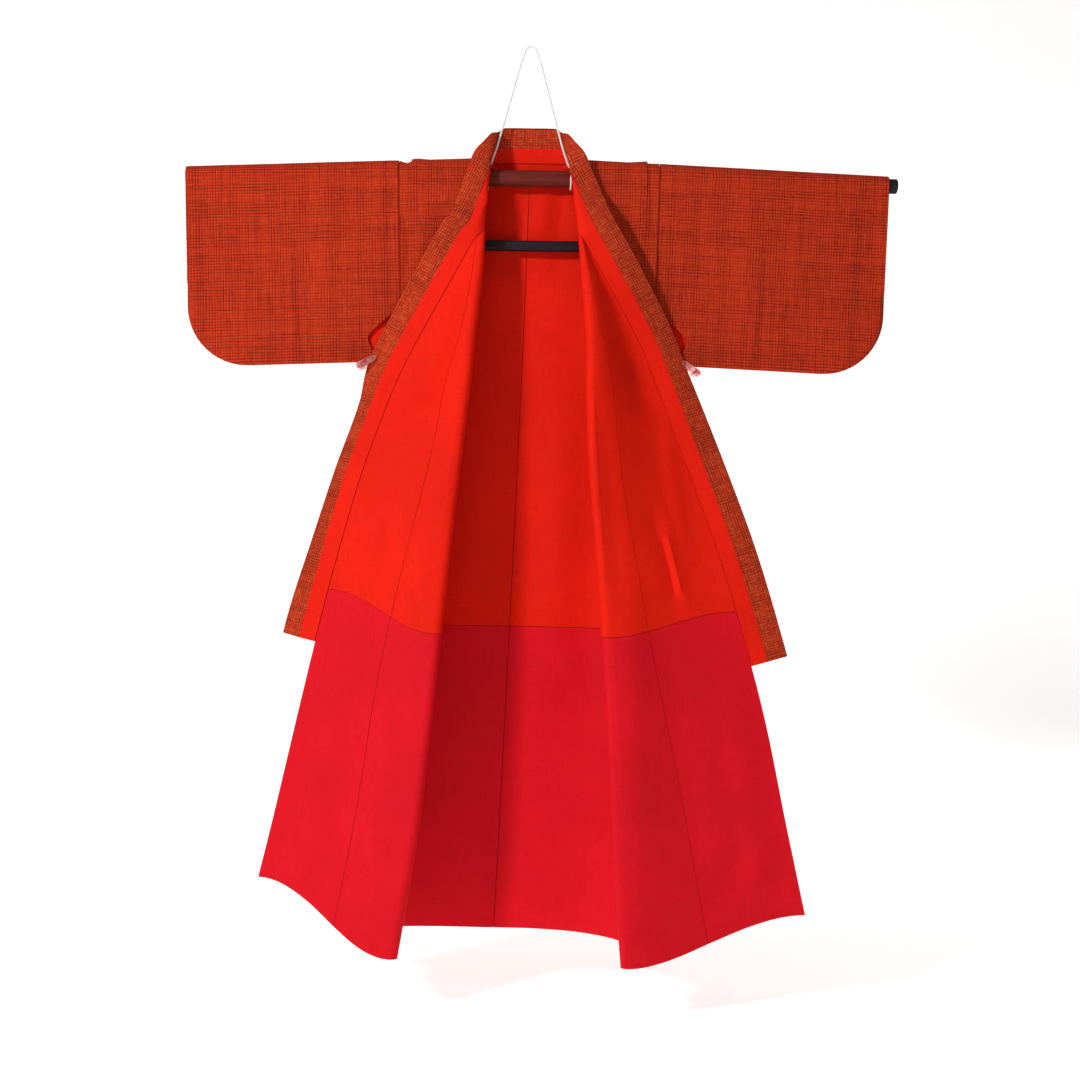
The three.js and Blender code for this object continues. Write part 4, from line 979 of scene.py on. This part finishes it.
def half_sheet(side):
    """One half of the body with its overlap panel, as a single sheet."""
    sheet, flip = Sheet(), side == "right"

    def drape(rows, label, zone):
        sheet.label, sheet.zone = label, zone
        sheet.rows(rows, flip)

    tip, below = front_trail(side, FIRST_FRONT), front_trail(side, SECOND_FRONT)
    tip_point = mix(tip.at(tip.fold[1])[0], below.at((below.seam + below.total) / 2)[0], OKUMI_POINT)
    ridge, reach = shoulder_line(side)
    drape(over_shoulder(side, ridge, reach), "doura body", "back")
    beside = beside_neck(side)
    ridge_row = (ridge[len(NECK_XS):][::-1], [(x, 0) for x in (SHOULDER_X - reach[::-1])])
    drape([ridge_row, *beside], "doura body", "shoulder")
    drape(into_front(side, beside[-1]), "doura body", "shoulder")

    for lining, drops in LINING_DROPS.items():
        drape([back_row(side, d) for d in drops], f"{lining} body", "back")
        down = [*UPPER_FRONTS, *drops] if lining == "doura" else drops
        for k, zone in enumerate(("behind", "fold", "front")):
            drape([front_row(side, d)[k] for d in down], f"{lining} body", zone)
        sewn = [d for d in down if d > OKUMI_TIP]
        panel = [okumi_row(side, d) for d in sewn]
        if lining == "doura":
            panel = [(np.array([tip_point]), [panel[0][1][-1]]), *panel]
        drape(panel, f"{lining} overlap", "front")
        seams = [(front_row(side, d)[2], okumi_row(side, d)) for d in sewn]
        across = [(np.array([a[0][-1], b[0][0]]), [a[1][-1], b[1][0]]) for a, b in seams]
        drape(across, f"{lining} seam", "front")
        for a, b in seams:
            sheet.joined.append((sheet.add(a[0][-1], a[1][-1]), sheet.add(b[0][0], b[1][0])))
    sheet.settle()
    return sheet


OUTER_REACH, LINING_REACH, CLOTH_THICKNESS, LINING_THICKNESS = 0.75, -0.82, 1.0, 0.9
OUTER = (OUTER_REACH, CLOTH_THICKNESS, check_cloth, "check_cloth")
UPPER_LINING = (LINING_REACH, LINING_THICKNESS, red_lining, "red_lining")
HEM_LINING = (LINING_REACH, LINING_THICKNESS, crimson_lining, "crimson_lining")
PIECES = (
    ("migoro", "body", OUTER, (0.205, 2.27)),
    ("okumi", "overlap", OUTER, (0.115, 0.95)),
    ("doura", "doura body", UPPER_LINING, (0.205, 1.35)),
    ("doura_okumi", "doura overlap", UPPER_LINING, (0.095, 0.55)),
    ("hakkake", "hakkake body", HEM_LINING, (0.235, 0.92)),
    ("hakkake_okumi", "hakkake overlap", HEM_LINING, (0.13, 0.46)),
)
halves = {side: half_sheet(side) for side in ("left", "right")}
for side, sheet in halves.items():
    for name, ending, (reach, thickness, material, slot), flat in PIECES:
        piece = shell(f"{name}_{side}_cloth", sheet, lambda label, e=ending: label.endswith(e),
                      reach, thickness, material)
        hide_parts(f"{name}_{side}")

# %% [markdown]
# ## Seam allowances
# Every seam has the turned-in edges of its cloth behind it. They close the fine gap between two pieces.
# Round the neck they are of the red lining; elsewhere they are near black, painted shade, so a seam shows as
# a thin dark line.

# %% Seam allowances
ALLOWANCE, ALLOWANCE_THICKNESS = 6, 0.3
NECK_STRIP_ROW, NECK_STRIP_HALF, NECK_STRIP_BELOW, NECK_STRIP_LEAN = 2.6, 44, 8, 0.14
# Near-black colours of this strip are painted shade of the seam gaps, far darker than the cloth itself.
seam_shade_look = Look("seam allowance painted shade", (0.16, 0.006, 0.004), 0.9, Specular_IOR_Level=0.1)
allowance_weave = seam_shade_look.threads(0, BODY_WEAVE) * seam_shade_look.threads(1, BODY_WEAVE)
seam_shade_look.paint(seam_shade_look.colours(allowance_weave, (0.17, 0.006, 0.004), (0.24, 0.009, 0.006)))
seam_shade_look.bump(allowance_weave, 0.0002, 0.4)


def allowance(name, rows, zone, material):
    """A narrow strip behind a seam."""
    strip = Sheet()
    strip.zone = strip.label = zone
    strip.rows([(np.array(points), [(i * ALLOWANCE, down) for i in range(len(points))])
                for down, points in rows], False)
    strip.settle()
    made = shell(name, strip, lambda label: True, 0, ALLOWANCE_THICKNESS, material)
    return made


neck_rows = []
sides_in = np.linspace(NECK_STRIP_ROW, 0, 14)
spots = [neck_point("left", neck_row(row)[0]) for row in sides_in]
spots += [vec(x, BACK_DEPTH, NECK_TOP) for x in np.linspace(-NECK_STRIP_HALF, NECK_STRIP_HALF, 23)]
spots += [neck_point("right", neck_row(row)[0]) for row in sides_in[::-1]]
for way, spot in enumerate(spots):
    beside = abs(spot[0]) > NECK_STRIP_HALF + 2
    lean = vec(-NECK_STRIP_LEAN * np.sign(spot[0]) if beside else 0, 0, 1)
    neck_rows.append((way * 4, [spot - vec(0, 0, NECK_STRIP_BELOW), spot, spot + lean * ALLOWANCE]))
allowance("allowance_neck", neck_rows, "neck", red_lining)
centre_rows = []
for drop in (-21, -12, 0, 5, *np.linspace(14, HEM_DROP - 1, 96)):
    left = back_trail("left", max(drop, 0)).at([ALLOWANCE, 0])
    right = back_trail("right", max(drop, 0)).at([0, ALLOWANCE])
    points = np.concatenate([left, right])
    points[:, 2] = -drop
    centre_rows.append((drop, points))
# The strip behind the centre back seam is drawn in the painted seam shade.
allowance("allowance_back", centre_rows, "back", seam_shade_look.material)
for side in ("left", "right"):
    collar_rows = []
    for drop in np.linspace(106, HEM_DROP - 1, 90):
        trail = front_trail(side, drop)
        _, inner, _ = band_directions(side, drop)
        last = trail.at([trail.total - ALLOWANCE, trail.total - COLLAR_GAP, trail.total])
        collar_rows.append((drop, [*last[:2], last[2] + inner * ALLOWANCE]))
    sewn = [row for row in collar_rows if -row[0] * FALL[side]["edge"] > BAND_END[side] + 2]
    allowance(f"allowance_collar_{side}", sewn, "front", seam_shade_look.material)
    # The strip behind each overlap seam also carries the painted seam shade.
    made = shell(f"allowance_okumi_{side}", halves[side], lambda label: label.endswith("seam"), 0, 0.5,
                 seam_shade_look.material)

# %% [markdown]
# ## Collar
# One long band of checked cloth folded over: its outer face, round the free edge and back over the red
# inner half. It stands up at the back of the neck, rolls over beside it and runs down both edges.

# %% Collar
ROLL_END_Z, ROLL_END_REACH, EVEN_REACH = -62, 34, 16
COLLAR_THICKNESS = 0.96


def band_across(points, along):
    """A line across the collar, with the direction out of its cloth at each point."""
    points = np.array(points)
    outward = []
    for i in range(len(points)):
        step = points[min(i + 1, len(points) - 1)] - points[max(i - 1, 0)]
        outward.append(unit(np.cross(step, along)))
    return Trail(points), np.array(outward)


def neck_across(side, row):
    """The line across the collar beside the neck, with its fold rounded."""
    start, middle, end = (neck_point(side, p) for p in neck_row(row))
    before = min(NECK_BEND, 0.45 * np.linalg.norm(start - middle))
    after = min(NECK_BEND, 0.45 * np.linalg.norm(end - middle))
    into = mix(middle, start, before / np.linalg.norm(start - middle))
    out = mix(middle, end, after / np.linalg.norm(end - middle))
    t = np.linspace(0, 1, 7)[:, None]
    bend = (1 - t) ** 2 * into + 2 * t * (1 - t) * middle + t**2 * out
    return [start, mix(start, into, 0.5), *bend, mix(out, end, 0.5), end]


def band_stations(side):
    """Lines across the collar from the back of the neck down to its end."""
    sign = sign_of(side)
    tables = [neck_across(side, row) for row in np.linspace(0, len(NECK) - 1, 29)]
    stations = []
    for i, points in enumerate(tables):
        along = tables[min(i + 1, len(tables) - 1)][0] - tables[max(i - 1, 0)][0]
        stations.append(band_across(points, along * sign))
    end_drop = -BAND_END[side] / FALL[side]["edge"]
    for drop in (FIRST_FRONT, SECOND_FRONT, *np.linspace(112, end_drop, 64)):
        along, inner, outer = band_directions(side, drop)
        trail = front_trail(side, drop)
        _, middle, end = trail.fold
        is_tip = drop < OKUMI_TIP
        lead = list(trail.at([middle, (middle + end) / 2])) if is_tip else []
        seam = trail.at(end)[0] if is_tip else edge_line(side, drop)
        ridge = seam + inner * (BAND_RED - (end - middle if is_tip else 0))
        stations.append(band_across([*lead, seam, ridge, ridge + outer * BAND_CHECK], along * sign))
    return stations


def band_back():
    """Lines across the part of the collar that stands at the back of the neck."""
    seam, _, free = NECK[0]
    made = []
    for t in np.linspace(-0.5, 0.5, 11):
        across = -2 * t * BACK_SPAN
        bottom, top = vec(seam[0] * across, seam[1], NECK_TOP), vec(free[0] * across, free[1], free[2])
        middle = mix(bottom, top, BAND_RED / (BAND_RED + BAND_CHECK))
        made.append(band_across([bottom, middle, top], vec(1, 0, 0)))
    return made


def band_row(station, start, end, reach, fractions):
    """Points between two marks of a line across the collar, at a reach out of it."""
    trail, outward = station
    marks = start + (end - start) * np.array(fractions)
    out = np.stack([np.interp(marks, trail.lengths, outward[:, k]) for k in range(3)], axis=1)
    out /= np.linalg.norm(out, axis=1)[:, None]
    return trail.at(marks) + out * np.broadcast_to(reach, len(marks))[:, None], marks, out


band = [*band_stations("left")[::-1], *band_back(), *band_stations("right")]
band_way = np.concatenate([[0], np.cumsum([np.linalg.norm(b[0].points[-1] - a[0].points[-1])
                                          for a, b in zip(band, band[1:])])])


def evened(lines):
    """The rows with their points evened out along the collar, most where its roll runs out."""
    grid = np.array([points for points, _ in lines])
    heights = np.array([station[0].points[0][2] for station in band])
    share = np.exp(-(((heights - ROLL_END_Z) / ROLL_END_REACH) ** 2))[:, None, None]
    weights = np.exp(-(((band_way[:, None] - band_way[None, :]) / EVEN_REACH) ** 2))
    weights /= weights.sum(axis=1, keepdims=True)
    smooth = np.einsum("ij,jkl->ikl", weights, grid)
    centre = np.einsum("ij,j->i", weights, band_way)
    smooth += np.gradient(smooth, band_way, axis=0) * (band_way - centre)[:, None, None]
    grid = grid + (smooth - grid) * share
    return [(points, flat) for points, (_, flat) in zip(grid, lines)]


collar, red_collar = Sheet(), Sheet()
across = np.linspace(0, 1, 9)
puff = 0.5 * np.sin(np.pi * across)
rows, red_rows = [], []
for station, way in zip(band, band_way):
    trail = station[0]
    total = trail.total
    turned = total - BAND_CHECK
    low, low_marks, _ = band_row(station, COLLAR_GAP / 2, turned, BAND_LAYER, across)
    up, up_marks, out = band_row(station, turned, total, BAND_LAYER + 0.5 * puff, across)
    near, near_marks, _ = band_row(station, turned + 0.2, total, -BAND_LAYER - puff, across)
    step = unit(trail.points[-1] - trail.points[-2])
    angles = np.linspace(0, math.pi, 7)[1:-1]
    tip = [trail.points[-1] + step * 1.8 * BAND_LAYER * math.sin(a) + out[-1] * BAND_LAYER * math.cos(a)
           for a in angles]
    points = np.concatenate([low, up[1:], tip, near[::-1]])
    marks = [*low_marks, *up_marks[1:], *(total + 2 * a for a in angles), *(2 * total + 6 - near_marks[::-1])]
    rows.append((points, [(mark, way) for mark in marks]))
    red, red_marks, _ = band_row(station, COLLAR_GAP / 2, turned - COLLAR_GAP / 2, -RED_LAYER, across)
    red_rows.append((red, [(mark, way) for mark in red_marks]))
rows, red_rows = evened(rows), evened(red_rows)
for sheet, lines in ((collar, rows), (red_collar, red_rows)):
    sheet.zone = sheet.label = "collar"
    sheet.rows(lines, True)
    sheet.settle()
eri = shell("eri_cloth", collar, lambda label: True, 0, COLLAR_THICKNESS, collar_cloth)
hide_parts("eri")
ura_eri = shell("ura_eri_cloth", red_collar, lambda label: True, 0, COLLAR_THICKNESS, red_lining)
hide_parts("ura_eri")

# %% [markdown]
# ## Sleeves
# A sleeve is one piece of cloth folded over the rod, sewn below the hand opening and round its lower
# corner, and open at the inner edge under the arm, where a sliver of the red lining shows.

# %% Sleeves
SLEEVE_OVER_ROD, SLEEVE_HEM_HALF, CUFF_HALF = 2.6, 2.7, 5
INNER_FLARE = {"front": (50, 56), "back": (28, 80)}
INNER_LOW_FROM, INNER_LOW = 262, 36
FIRST_DOWN, SECOND_DOWN, BELOW_CUFF, LAST_DOWN, SLEEVE_LENGTH = 28, 36, 177, 281, 0.61
BODY_TAPER, CUFF_TAPER, CUFF_GROWTH, CUFF_ROUND, HEM_ROUND = (90, 285), (20, 230), 1.5, 60, 80
SLEEVE_SHARES = [*np.linspace(0, 0.9, 34), 0.925, 0.945, 0.96, 0.972, 0.982, 0.99, 0.996, 1]


def sleeve_place(side, along, down):
    """A place on the sleeve's middle plane, along from its seam and down from the rod."""
    slope = math.atan(SHOULDER_SLOPE)
    x = SHOULDER_X + SEAM_GAP + along * math.cos(slope) - down * ARM_LEAN
    return vec(sign_of(side) * x, 0, top_at(SHOULDER_X) - along * math.sin(slope) - down * math.cos(slope))


def inner_at(down, face):
    """The sleeve's inner edge: sewn to the body, then open and flared, so that its lining shows."""
    flare, reach = INNER_FLARE[face]
    sewn = top_at(SHOULDER_X) + ARM_SEAM_DROP
    opened = flare * soft(down, sewn, sewn + reach)
    return mix(opened, INNER_LOW, soft(down, INNER_LOW_FROM, SLEEVE_HEIGHT))


def outer_at(down, width):
    """The sleeve's outer edge: straight at the hand opening, then round its lower corner."""
    low = SLEEVE_HEIGHT - SLEEVE_CORNER
    if down <= low:
        return width
    return width - SLEEVE_CORNER + math.sqrt(max(SLEEVE_CORNER**2 - (down - low) ** 2, 0))


def row_over_rod(side, angle, toward):
    """A row of the sleeve on its way over the rod."""
    width = SLEEVE_WIDTH[side]
    points = []
    for t in SLEEVE_SHARES:
        point = sleeve_place(side, t * width, 0)
        axis = rod_axis(point[0])
        depth = mix(arm_depth(0), ROD_END_RADIUS + SLEEVE_OVER_ROD, min(CUFF_GROWTH * t, 1))
        point[1] = depth * math.sin(angle) * toward
        point[2] = axis + (point[2] - axis) * math.cos(angle)
        points.append(point)
    over = toward * FIRST_DOWN * angle / (math.pi / 2)
    return np.array(points), [(t * width, over) for t in SLEEVE_SHARES]


def hanging_row(side, down, face, toward):
    """A row of the sleeve below the rod. Front and back meet at the hem and below the hand opening."""
    points, flat = [], []
    inner, outer = inner_at(down, face), outer_at(down, SLEEVE_WIDTH[side])
    hem = math.sqrt(max(1 - (down / SLEEVE_HEIGHT) ** HEM_ROUND, 0))
    body = mix(arm_depth(-down), SLEEVE_HEM_HALF, soft(down, *BODY_TAPER))
    cuff = mix(ROD_END_RADIUS + SLEEVE_OVER_ROD, CUFF_HALF, soft(down, *CUFF_TAPER))
    for t in SLEEVE_SHARES:
        along = inner + t * (outer - inner)
        point = sleeve_place(side, along, down)
        edge = math.sqrt(max(1 - t**CUFF_ROUND, 0)) if down > CUFF_OPENING else 1
        point[1] = mix(body, cuff, min(CUFF_GROWTH * t, 1)) * edge * hem * toward
        points.append(point)
        flat.append((along, toward * (down + 10)))
    return np.array(points), flat


def sleeve_sheet(side):
    """One sleeve: a front and a back that meet on the ridge over the rod."""
    sheet = Sheet()
    turned = 1 - np.cos(np.linspace(0, math.pi / 2, 8))
    near_hem = LAST_DOWN + (SLEEVE_HEIGHT - LAST_DOWN) * np.sin(turned / turned[-1] * math.pi / 2)[1:]
    downs = [FIRST_DOWN, *np.linspace(SECOND_DOWN, CUFF_OPENING, 14),
             *np.linspace(BELOW_CUFF, LAST_DOWN, 14), *near_hem]
    for face, toward in (("front", -1), ("back", 1)):
        rows = [row_over_rod(side, angle, toward) for angle in np.linspace(0, math.pi / 2, 10)]
        rows += [hanging_row(side, down, face, toward) for down in downs]
        sheet.label, sheet.zone = "sleeve", f"sleeve_{face}"
        sheet.rows(rows, (side == "left") == (face == "front"))
    return sheet


for side in ("left", "right"):
    sheet = sleeve_sheet(side)
    sheet.settle()
    layers = (("sleeve", OUTER), ("sleeve_lining", UPPER_LINING))
    for name, (reach, thickness, material, slot) in layers:
        piece = shell(f"{name}_{side}_cloth", sheet, lambda label: True, reach, thickness, material)
        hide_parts(f"{name}_{side}")

# %% [markdown]
# ## Rod, caps and lower bar
# The rod is lacquered brown and sags a little at its ends, which carry black caps with rounded ends.
# The black bar under it is part of the same hanger.

# %% Rod, caps and lower bar
CAP_LENGTH, BAR_RADIUS, BAR_HALF_LENGTH, BAR_DROP = 16, 8.2, 104, 101
CAP_PROFILE = ((16, 0.25), (15.6, 0), (8, 0), (3, 0), (1.9, 0.25), (1, 0.9), (0.4, 1.9), (0, 3.4))
BAR_END = ((0, 1.2), (0.7, 0.3), (1.6, 0))


def hardware(name, points, radii, material, slot, *nodes):
    """A turned bar with its finish, in place of CAD nodes."""
    thing = tube(name, points, radii, sides=40)
    thing.data.materials.clear()
    thing.data.materials.append(material)
    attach(thing, "root")
    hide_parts(*nodes)
    return thing


rod_middle = (ROD_LEFT + ROD_RIGHT) / 2
rod_xs = np.linspace(ROD_LEFT + CAP_LENGTH + SEAM_GAP, ROD_RIGHT - CAP_LENGTH - SEAM_GAP, 41)
rod_shares = np.abs(rod_xs - rod_middle) / (ROD_RIGHT - rod_middle)
rod_radii = [mix(ROD_MIDDLE_RADIUS, ROD_END_RADIUS, share) for share in rod_shares]
hardware("rod_bar", [(x, 0, rod_axis(x)) for x in rod_xs], rod_radii, brown_lacquer, "brown_lacquer", "rod")
for side, end, inward in (("left", ROD_LEFT, 1), ("right", ROD_RIGHT, -1)):
    spots = [(end + inward * depth, 0, rod_axis(end + inward * depth)) for depth, _ in CAP_PROFILE]
    radii = [ROD_END_RADIUS - shrink for _, shrink in CAP_PROFILE]
    hardware(f"cap_{side}", spots, radii, black_lacquer, "black_lacquer", f"rod_cap_{side}")
left_end = [(along - BAR_HALF_LENGTH, BAR_RADIUS - shrink) for along, shrink in BAR_END]
bar_profile = [*left_end, (0, BAR_RADIUS), *((-x, r) for x, r in left_end[::-1])]
hardware("bar", [(x, 0, -BAR_DROP) for x, _ in bar_profile], [r for _, r in bar_profile], black_lacquer,
         "black_lacquer", "lower_bar")
for side in ("left", "right"):
    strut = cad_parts[f"strut_{side}"]
    for k in range(max(len(strut.material_slots), 1)):
        strut.material_slots[k].material = black_lacquer
print("rod", ROD_RIGHT - ROD_LEFT, "mm long, bar", 2 * BAR_HALF_LENGTH, "mm")

# %% [markdown]
# ## Clips
# A small sprung clip holds each free edge to the sleeve's corner: two plastic levers and a steel coil.

# %% Clips
CLIPS = {
    "left": {"x": -239, "z": -279, "angle": 30, "front": -13.6, "back": 4.4},
    "right": {"x": 245, "z": -283, "angle": 142, "front": -14.8, "back": 4.4},
}
CLIP_LENGTH, CLIP_WIDTH, CLIP_PLATE, CLIP_STAND_OFF, CLIP_SPREAD = 33, 13, 2.2, 1.5, 5
SPRING_AT, SPRING_RADIUS, SPRING_TURNS, WIRE_RADIUS = 7.5, 2.0, 7, 0.42


def clip_place(clip, along, y, across):
    """A point of a clip: along its length towards the jaw, its depth, and across its width."""
    angle = math.radians(clip["angle"])
    return vec(clip["x"] + along * math.cos(angle) - across * math.sin(angle), y,
               clip["z"] + along * math.sin(angle) + across * math.cos(angle))


for side, clip in CLIPS.items():
    for face, out in (("front", -1), ("back", 1)):
        half, y = CLIP_LENGTH / 2, clip[face]
        sections = []
        for share in np.linspace(0, 1, 15):
            along = half - CLIP_LENGTH * share
            off = np.interp(along, [-half, 0, half], [CLIP_SPREAD, CLIP_STAND_OFF, 0])
            deep = CLIP_PLATE + (1 if abs(along) < 3 else 0)
            rounded = math.sqrt(max(1 - (abs(along) / half) ** 8, 0.12))
            wide = CLIP_WIDTH / 2 * (0.6 + 0.3 * share) * rounded
            sections.append([clip_place(clip, along, y + out * (off + (deep if far else 0)), s * wide)
                             for s, far in ((-1, 0), (1, 0), (1, 1), (-1, 1))])
        points = [p for section in sections for p in section]
        faces = [(0, 1, 2, 3), tuple(range(len(points) - 4, len(points)))[::-1]]
        for i in range(1, len(sections)):
            for k in range(4):
                a, b = 4 * (i - 1) + k, 4 * (i - 1) + (k + 1) % 4
                faces.append((a, a + 4, b + 4, b))
        mesh = bpy.data.meshes.new(f"lever_{face}_{side}")
        mesh.from_pydata([metres(p) for p in points], [], faces)
        lever = bpy.data.objects.new(mesh.name, mesh)
        scene.collection.objects.link(lever)
        pick(lever)
        bpy.ops.object.mode_set(mode="EDIT")
        bpy.ops.mesh.select_all(action="SELECT")
        bpy.ops.mesh.normals_make_consistent(inside=False)
        bpy.ops.object.mode_set(mode="OBJECT")
        soften = lever.modifiers.new("soften", "BEVEL")
        soften.width, soften.segments, soften.limit_method = 0.0005, 3, "ANGLE"
        bpy.ops.object.modifier_apply(modifier="soften")
        bpy.ops.object.shade_smooth_by_angle(angle=math.radians(35))
        lever.data.materials.append(plastic_look.material)
        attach(lever, "root")
        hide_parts(f"clip_{face}_{side}")
    coil = []
    low, high = clip["front"] - 2.0, clip["back"] + 2.0
    for t in np.linspace(0, 1, SPRING_TURNS * 14 + 1):
        turn = 2 * math.pi * SPRING_TURNS * t
        coil.append(clip_place(clip, -SPRING_AT + SPRING_RADIUS * math.cos(turn), mix(low, high, t),
                               SPRING_RADIUS * math.sin(turn)))
    hardware(f"spring_{side}", coil, [WIRE_RADIUS] * len(coil), steel_look.material, "spring_steel",
             f"clip_spring_{side}")
    print(side, "clip: two levers and a spring of", SPRING_TURNS, "turns")

# %% [markdown]
# ## Floor and backdrop
# The photo's ground is plain and pale, so one sheet runs from the floor up behind the garment.

# %% Floor and backdrop
FLOOR_Z, FLOOR_FRONT, FLOOR_HALF, WALL_Y, WALL_TOP, BEND = -1.42, -4.6, 5, 3.7, 4.4, 1.1
profile = [(FLOOR_FRONT, FLOOR_Z), (WALL_Y - BEND, FLOOR_Z)]
for angle in np.linspace(0, math.pi / 2, 13)[1:]:
    profile.append((WALL_Y - BEND + BEND * math.sin(angle), FLOOR_Z + BEND * (1 - math.cos(angle))))
profile.append((WALL_Y, WALL_TOP))
mesh = bpy.data.meshes.new("backdrop")
mesh.from_pydata([(x, y, z) for y, z in profile for x in (-FLOOR_HALF, FLOOR_HALF)], [],
                 [(2 * i, 2 * i + 1, 2 * i + 3, 2 * i + 2) for i in range(len(profile) - 1)])
backdrop = bpy.data.objects.new("backdrop", mesh)
scene.collection.objects.link(backdrop)
for polygon in mesh.polygons:
    polygon.use_smooth = True
paper = Look("paper", (0.93, 0.928, 0.925), 0.9)
paper.shader.inputs["Emission Color"].default_value = (1, 0.995, 0.99, 1)
paper.shader.inputs["Emission Strength"].default_value = 0.55
mesh.materials.append(paper.material)
backdrop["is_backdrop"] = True
print("backdrop of", len(profile), "rows")

# %% Sizes and finish
sizes = {"cad": [list(corner) for corner in cad_box], "visual": [list(corner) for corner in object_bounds()]}
for axis, name in enumerate("xyz"):
    past = [round(1000 * (sizes["visual"][k][axis] - sizes["cad"][k][axis]), 1) for k in (0, 1)]
    print(name, past, "mm past the box")
